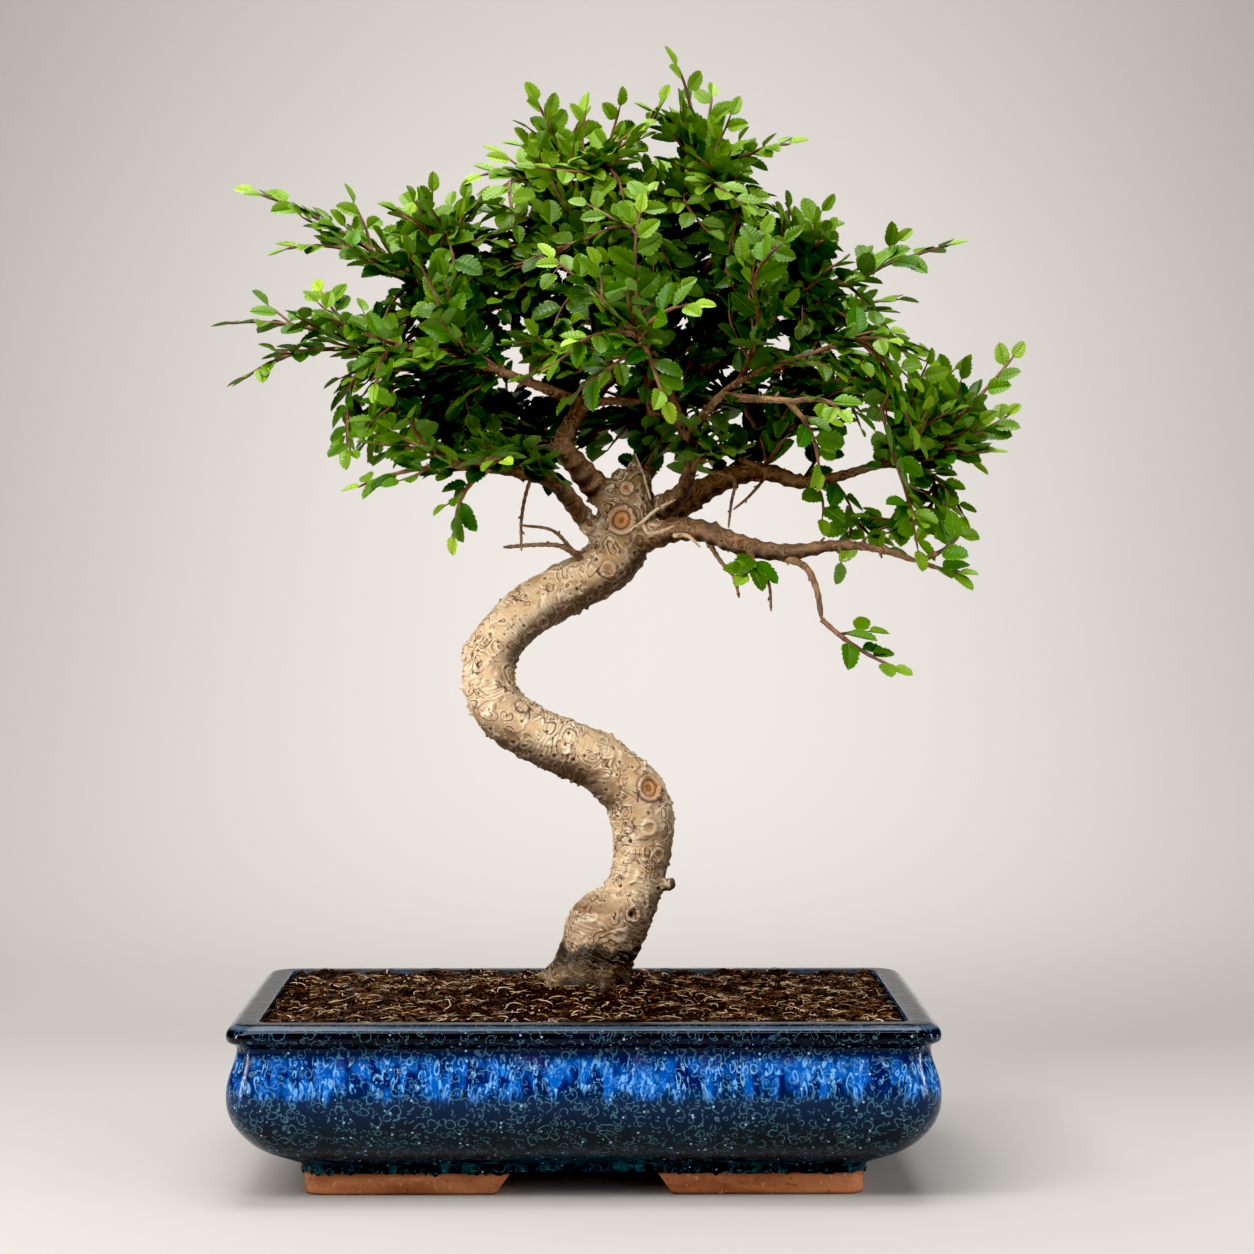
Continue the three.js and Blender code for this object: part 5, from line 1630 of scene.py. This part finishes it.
class Foliage:
    """Leaves gathered into one mesh, with marks that their finish reads."""

    def __init__(self):
        self.blades = []
        self.growth = []

    def add(self, foot, along, across, normal, length, width, youth):
        half = BLADE[:, 1] * width / 2
        share = BLADE[:, 0]
        fold = grow.uniform(*LEAF_FOLD)
        droop = grow.uniform(*LEAF_DROOP)
        lift = fold * np.abs(half) - droop * length * share ** 2 + BLADE[:, 2] * length
        lift += grow.uniform(-0.05, 0.05) * length * share * BLADE[:, 1]
        turn = grow.uniform(-0.07, 0.07) * length * share ** 2
        blade = foot + np.outer(share * length, along) + np.outer(half + turn, across)
        self.blades.append(blade + np.outer(lift, normal))
        # Leaves further in the crown get a darker tone: partly older leaves, partly painted shade inside the
        # crown.
        outer = smooth_step(crown_share(foot), 0.45, 1.05)
        self.growth.append((youth, grow.random() * (0.35 + 0.65 * outer), grow.random(), outer))

    def piece(self, name, material):
        count = len(self.blades)
        faces = BLADE_FACES[None] + np.arange(count)[:, None, None] * len(BLADE)
        made = mesh_piece(name, self.blades, faces.reshape(-1, 3).tolist(), material)
        corners = BLADE_FACES.ravel()
        blade = np.column_stack([
            BLADE[corners, 0], np.abs(BLADE[corners, 1]), np.repeat(BLADE_UNDER, 3), np.ones(len(corners)),
        ])
        keep(made.data, "blade", np.tile(blade, (count, 1)), "CORNER")
        keep(made.data, "growth", np.repeat(self.growth, len(BLADE), axis=0))
        bpy.ops.object.shade_smooth_by_angle(angle=math.radians(48))
        return made


def towards_light(foot):
    """The way a leaf here faces: up, and outwards from the crown's middle."""
    return unit(np.array([foot[0] * 0.004, foot[1] * 0.006 - 0.5, 1]))


def thick_wood():
    """The thick limbs' places with their radii, for leaves to keep clear of."""
    places, radii = [], []
    for rows in [TRUNK, *LIMBS.values()]:
        path, thick = curve_through(rows, 3.0)
        places.append(path)
        radii.append(thick)
    return np.concatenate(places), np.concatenate(radii)


def is_clear(foot, along, length):
    """The leaf's outer half is outside the thick wood."""
    for share in (0.55, 0.95):
        away = np.linalg.norm(THICK_PLACES - (foot + along * length * share), axis=1)
        if (away < THICK_RADII + 0.6).any():
            return False
    return True


THICK_PLACES, THICK_RADII = thick_wood()


def set_leaf(foliage, foot, ahead, light, open_angle, rise, length, width, youth):
    """Adds a leaf that opens from the twig's way ahead by this angle, unless it would meet thick wood."""
    across = unit(np.cross(ahead, light))
    normal = unit(np.cross(across, ahead))
    along = unit(ahead * math.cos(open_angle) + across * math.sin(open_angle) + normal * rise)
    blade = unit(np.cross(normal, along))
    if not is_clear(foot, along, length):
        return
    foliage.add(foot, along, blade, unit(np.cross(along, blade)), length, width, youth)


def leaf_twig(foliage, route, number):
    """The spray's own leaves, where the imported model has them."""
    length = route["length"] * (1 - route["start"])
    count = (max(3, round(length / LEAF_PITCH) + 1) - 1) * LEAF_BETWEEN + 1
    twig = evenly(route["path"], shares=np.linspace(route["start"], 1, 41))
    for place in range(count):
        leaf = place / LEAF_BETWEEN
        t = min(1, FIRST_LEAF + (1 - FIRST_LEAF) * place / (count - 1))
        foot, ahead = at_share(twig, t)
        young = 1 - LEAF_SHRINK * t * t
        long = LEAF_LENGTH * young * (1 + LEAF_SIZE_SWAY * sway(number, leaf, 3))
        wide = LEAF_WIDTH * young * (1 + LEAF_SIZE_SWAY * sway(number, leaf, 4))
        light = towards_light(foot)
        light += (LIGHT_SWAY * sway(number, leaf, 11), LIGHT_SWAY * sway(number, leaf, 31), 0)
        is_last = t > 0.995
        side = 1 if math.ceil(leaf) % 2 == 0 else -1
        turn = side * (LEAF_OPEN + LEAF_OPEN_SWAY * sway(number, leaf, 51))
        if is_last:
            turn = 0.2 * sway(number, leaf, 5)
            foot = foot - ahead * 1.4
        rise = LEAF_LIFT + LEAF_OPEN_SWAY * sway(number, leaf, 71)
        set_leaf(foliage, foot, ahead, light, turn, rise, long, wide, t ** 3)


def leaf_shoot(foliage, path, first, vigour):
    """Leaves on alternate sides of a side shoot, from this share of it to its tip."""
    length = length_of(path)
    count = max(2, round(length * (1 - first) / SHOOT_PITCH) + 1)
    side = grow.choice((-1, 1))
    for leaf in range(count):
        t = first + (1 - first) * leaf / (count - 1)
        foot, ahead = at_share(path, t)
        light = towards_light(foot)
        light += (SHOOT_LIGHT_SWAY * grow.uniform(-1, 1), SHOOT_LIGHT_SWAY * grow.uniform(-1, 1), 0)
        light[1] += 0.12 + 0.4 * smooth_step(foot[1], 0, 60)
        if abs(ahead @ unit(light)) > 0.94:
            light += (0.5, -0.6, 0)
        growing = (leaf + 1) / count
        size = vigour * (1 - 0.3 * growing ** 2.5) * grow.uniform(0.86, 1.1)
        is_last = leaf == count - 1
        turn = grow.uniform(-0.25, 0.25) if is_last else side * grow.uniform(*SHOOT_LEAF_TURNS)
        start = foot - ahead * 1.2 if is_last else foot
        outer = crown_share(foot)
        # Young colour goes mostly to leaves at the crown's outside and top: partly young growth, partly
        # painted light where the crown is lit.
        youth = growing ** 3 * grow.uniform(0.1, 0.9) * (0.35 + 0.65 * smooth_step(outer, 0.4, 1))
        youth += 0.35 * smooth_step(outer, 0.7, 1.2) * grow.random() + 0.55 * smooth_step(foot[2], 352, 402)
        rise = grow.uniform(*SHOOT_LEAF_RISES)
        wide = LEAF_WIDTH * size * grow.uniform(0.9, 1.12)
        set_leaf(foliage, start, ahead, light, turn, rise, LEAF_LENGTH * size, wide, min(1, youth))
        side = -side


def twig_tube(skin, path, thick, thin):
    radii = np.linspace(thick, thin, len(path))
    radii[-1] *= 0.5
    skin.tube(path, knotty(path, radii, SHOOT_PITCH, 0.2), 5)


def shoot_start(path, share, turn, rise):
    """Where a shoot leaves a twig: its foot, the twig's way ahead there, and the shoot's own way."""
    foot, ahead = at_share(path, share)
    across = unit(np.cross(ahead, towards_light(foot)))
    over = unit(np.cross(across, ahead))
    return foot, ahead, unit(ahead * math.cos(turn) + across * math.sin(turn) + over * rise)


def forked_shoots(route, number, wood, foliage):
    """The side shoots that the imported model's forked sprays have, on alternate sides of the twig."""
    for place, share in enumerate(SHOOT_SHARES):
        turn = (-1) ** place * (0.95 + 0.15 * sway(FORKED_SPRAYS * number + place, 0, 91))
        spot = route["start"] + (1 - route["start"]) * share
        foot, ahead, way = shoot_start(route["path"], spot, turn, 0.25)
        end = foot + unit(way + 0.3 * ahead) * SHOOT_LENGTH
        path = bow(foot, foot + way * SHOOT_LENGTH / 2, end, np.linspace(0, 1, 10))
        twig_tube(wood, path, 0.75, 0.5)
        leaf_shoot(foliage, path, FIRST_SHOOT_LEAF, 1)


def side_shoots(route, wood, foliage):
    """Shoots on alternate sides of a branch, shorter towards its tip."""
    length = route["length"]
    reach = max(9, length * 0.2)
    side = grow.choice((-1, 1))
    while reach < length - BARE_END:
        turn = side * grow.uniform(*SHOOT_TURNS)
        foot, ahead, way = shoot_start(route["path"], reach / length, turn, grow.uniform(*SHOOT_RISES))
        long = min(LONGEST_SHOOT, 0.6 * (length - reach)) * grow.uniform(0.7, 1.1)
        if long > SHORTEST_SHOOT:
            end = foot + unit(way + 0.35 * ahead + UP * 0.12) * long
            path = bow(foot, foot + way * long * 0.5, end, np.linspace(0, 1, max(4, round(long / 3))))
            twig_tube(wood, path, 0.7, 0.4)
            leaf_shoot(foliage, path, FIRST_SHOOT_LEAF, grow.uniform(0.84, 1.04))
        reach += SHOOT_SPACING * grow.uniform(0.75, 1.25)
        side = -side


def leaf_finish():
    leaf = Finish("elm_leaf", Specular_IOR_Level=0.3, Specular_Tint=(0.8, 1, 0.66, 1))
    place = leaf.place
    along, across, under = leaf.mark("blade", 0).outputs("ShaderNodeSeparateColor")
    youth, tone, tint = leaf.mark("growth", 0).outputs("ShaderNodeSeparateColor")
    outer = leaf.mark("growth", 3)
    cloud = place.grain(120, 3, 0.6)
    old = leaf.mix(tone, (18, 56, 5), (62, 126, 13))
    old = leaf.mix(tint * 0.45, old, (102, 144, 22))
    # Painted shade inside the crown: leaves towards its middle go darker, partly as older leaves.
    old = leaf.mix(outer.rise(0.5, 0) * 0.62, old, (10, 38, 3))
    young = leaf.mix(tone, (126, 166, 34), (174, 204, 64))
    colour = leaf.mix(youth, old, young)
    colour = leaf.mix(cloud.rise(0.5, 0.75) * 0.25, colour, (88, 136, 30))
    # Leaves high in the crown are painted yellower: partly young growth, partly painted light on the crown's
    # top.
    colour = leaf.mix(place.axes()[2].rise(0.33, 0.42) * 0.56, colour, (130, 168, 48))
    wave = (along * 7.5 - across * 0.9) * (2 * math.pi)
    veins = wave.sine().rise(0.86, 1.0) * across.rise(0.95, 0.6)
    rib = across.rise(0.08, 0.02)
    colour = leaf.mix(veins * 0.14, colour, (128, 168, 70))
    colour = leaf.mix(rib * 0.3, colour, (140, 172, 80))
    # A pale band along the blade's rim: partly its paler margin, partly a painted highlight on the edge.
    colour = leaf.mix(across.rise(0.8, 1.0) * 0.65, colour, (160, 200, 64))
    colour = leaf.mix(under * 0.7, colour, (92, 128, 56))
    leaf.feed(Base_Color=colour, Roughness=0.24 + under * 0.28 + cloud * 0.12)
    leaf.bump(rib * -0.5 + veins * -0.5 + cloud * 0.25, LEAF_RELIEF)
    return leaf.material


def twig_finish():
    twig = Finish("young_twig", Roughness=0.6)
    place = twig.place
    cloud = place.grain(90, 2, 0.5)
    grain = place.grain(800, 3, 0.7)
    colour = twig.mix(cloud.rise(0.35, 0.65), (84, 48, 30), (132, 92, 62))
    colour = twig.mix(grain.rise(0.55, 0.7) * 0.5, colour, (170, 138, 104))
    twig.feed(Base_Color=colour, Roughness=0.5 + grain * 0.3)
    twig.bump(grain, TWIG_RELIEF)
    return twig.material


elm_leaf = leaf_finish()
young_twig = twig_finish()
for number, route in enumerate(routes):
    wood = Skin()
    foliage = Foliage()
    count = round(route["length"] * (1 - route["start"]) / 1.7)
    twig = evenly(route["path"], shares=np.linspace(route["start"] - 0.5 / route["length"], 1, count))
    twig_tube(wood, twig, TWIG_RADIUS, TWIG_END_RADIUS)
    leaf_twig(foliage, route, number)
    if number >= len(routes) - FORKED_SPRAYS:
        forked_shoots(route, number, wood, foliage)
    side_shoots(route, wood, foliage)
    node = f"spray_{number + 1:02d}"
    take_over(wood.piece(node + "_twigs", young_twig), "twig", node)
    take_over(foliage.piece(node + "_leaves", elm_leaf), "leaf", node)


def standing_wood():
    """Places on the limbs and branches that an inner shoot may leave, with the ways ahead."""
    paths = [curve_through(rows, 3.0)[0] for rows in LIMBS.values()]
    paths += [evenly(route["path"], shares=np.linspace(0, 0.9, 24)) for route in routes]
    places, ways = np.concatenate(paths), np.concatenate([ways_along(path) for path in paths])
    grown = places[:, 2] > INNER_FLOOR
    return places[grown], ways[grown]


def inner_shoot(target, places, ways, wood, foliage):
    """A shoot from the nearest wood that already points its way, out to the target."""
    reach = np.linalg.norm(target - places, axis=1)
    facing = (ways * (target - places)).sum(axis=1) / np.maximum(reach, 1)
    best = np.argmin(reach * (1.35 - 0.35 * facing) + 400 * (reach < 20))
    foot = places[best]
    way = unit(target - foot)
    long = min(reach[best], INNER_LENGTH)
    knee = foot + unit(way + 0.4 * ways[best] + UP * 0.2) * long * 0.5 + grow.uniform(-0.1, 0.1, 3) * long
    path = bow(foot, knee, foot + way * long, np.linspace(0, 1, max(5, round(long / 3.4))))
    twig_tube(wood, path, 0.8, 0.42)
    leaf_shoot(foliage, path, 1 - min(0.86, INNER_LEAFY / long), grow.uniform(0.84, 1.08))
    return path


standing_places, standing_ways = standing_wood()
for name, middle, half, count in MASSES:
    wood = Skin()
    foliage = Foliage()
    for _ in range(count):
        place = unit(grow.normal(size=3)) * grow.random() ** 0.45
        path = inner_shoot(np.array(middle) + place * half, standing_places, standing_ways, wood, foliage)
        standing_places = np.concatenate([standing_places, path[1:-1:3]])
        standing_ways = np.concatenate([standing_ways, ways_along(path)[1:-1:3]])
    take_over(wood.piece("inner_twigs_" + name, young_twig), "twig")
    take_over(foliage.piece("inner_leaves_" + name, elm_leaf), "leaf")
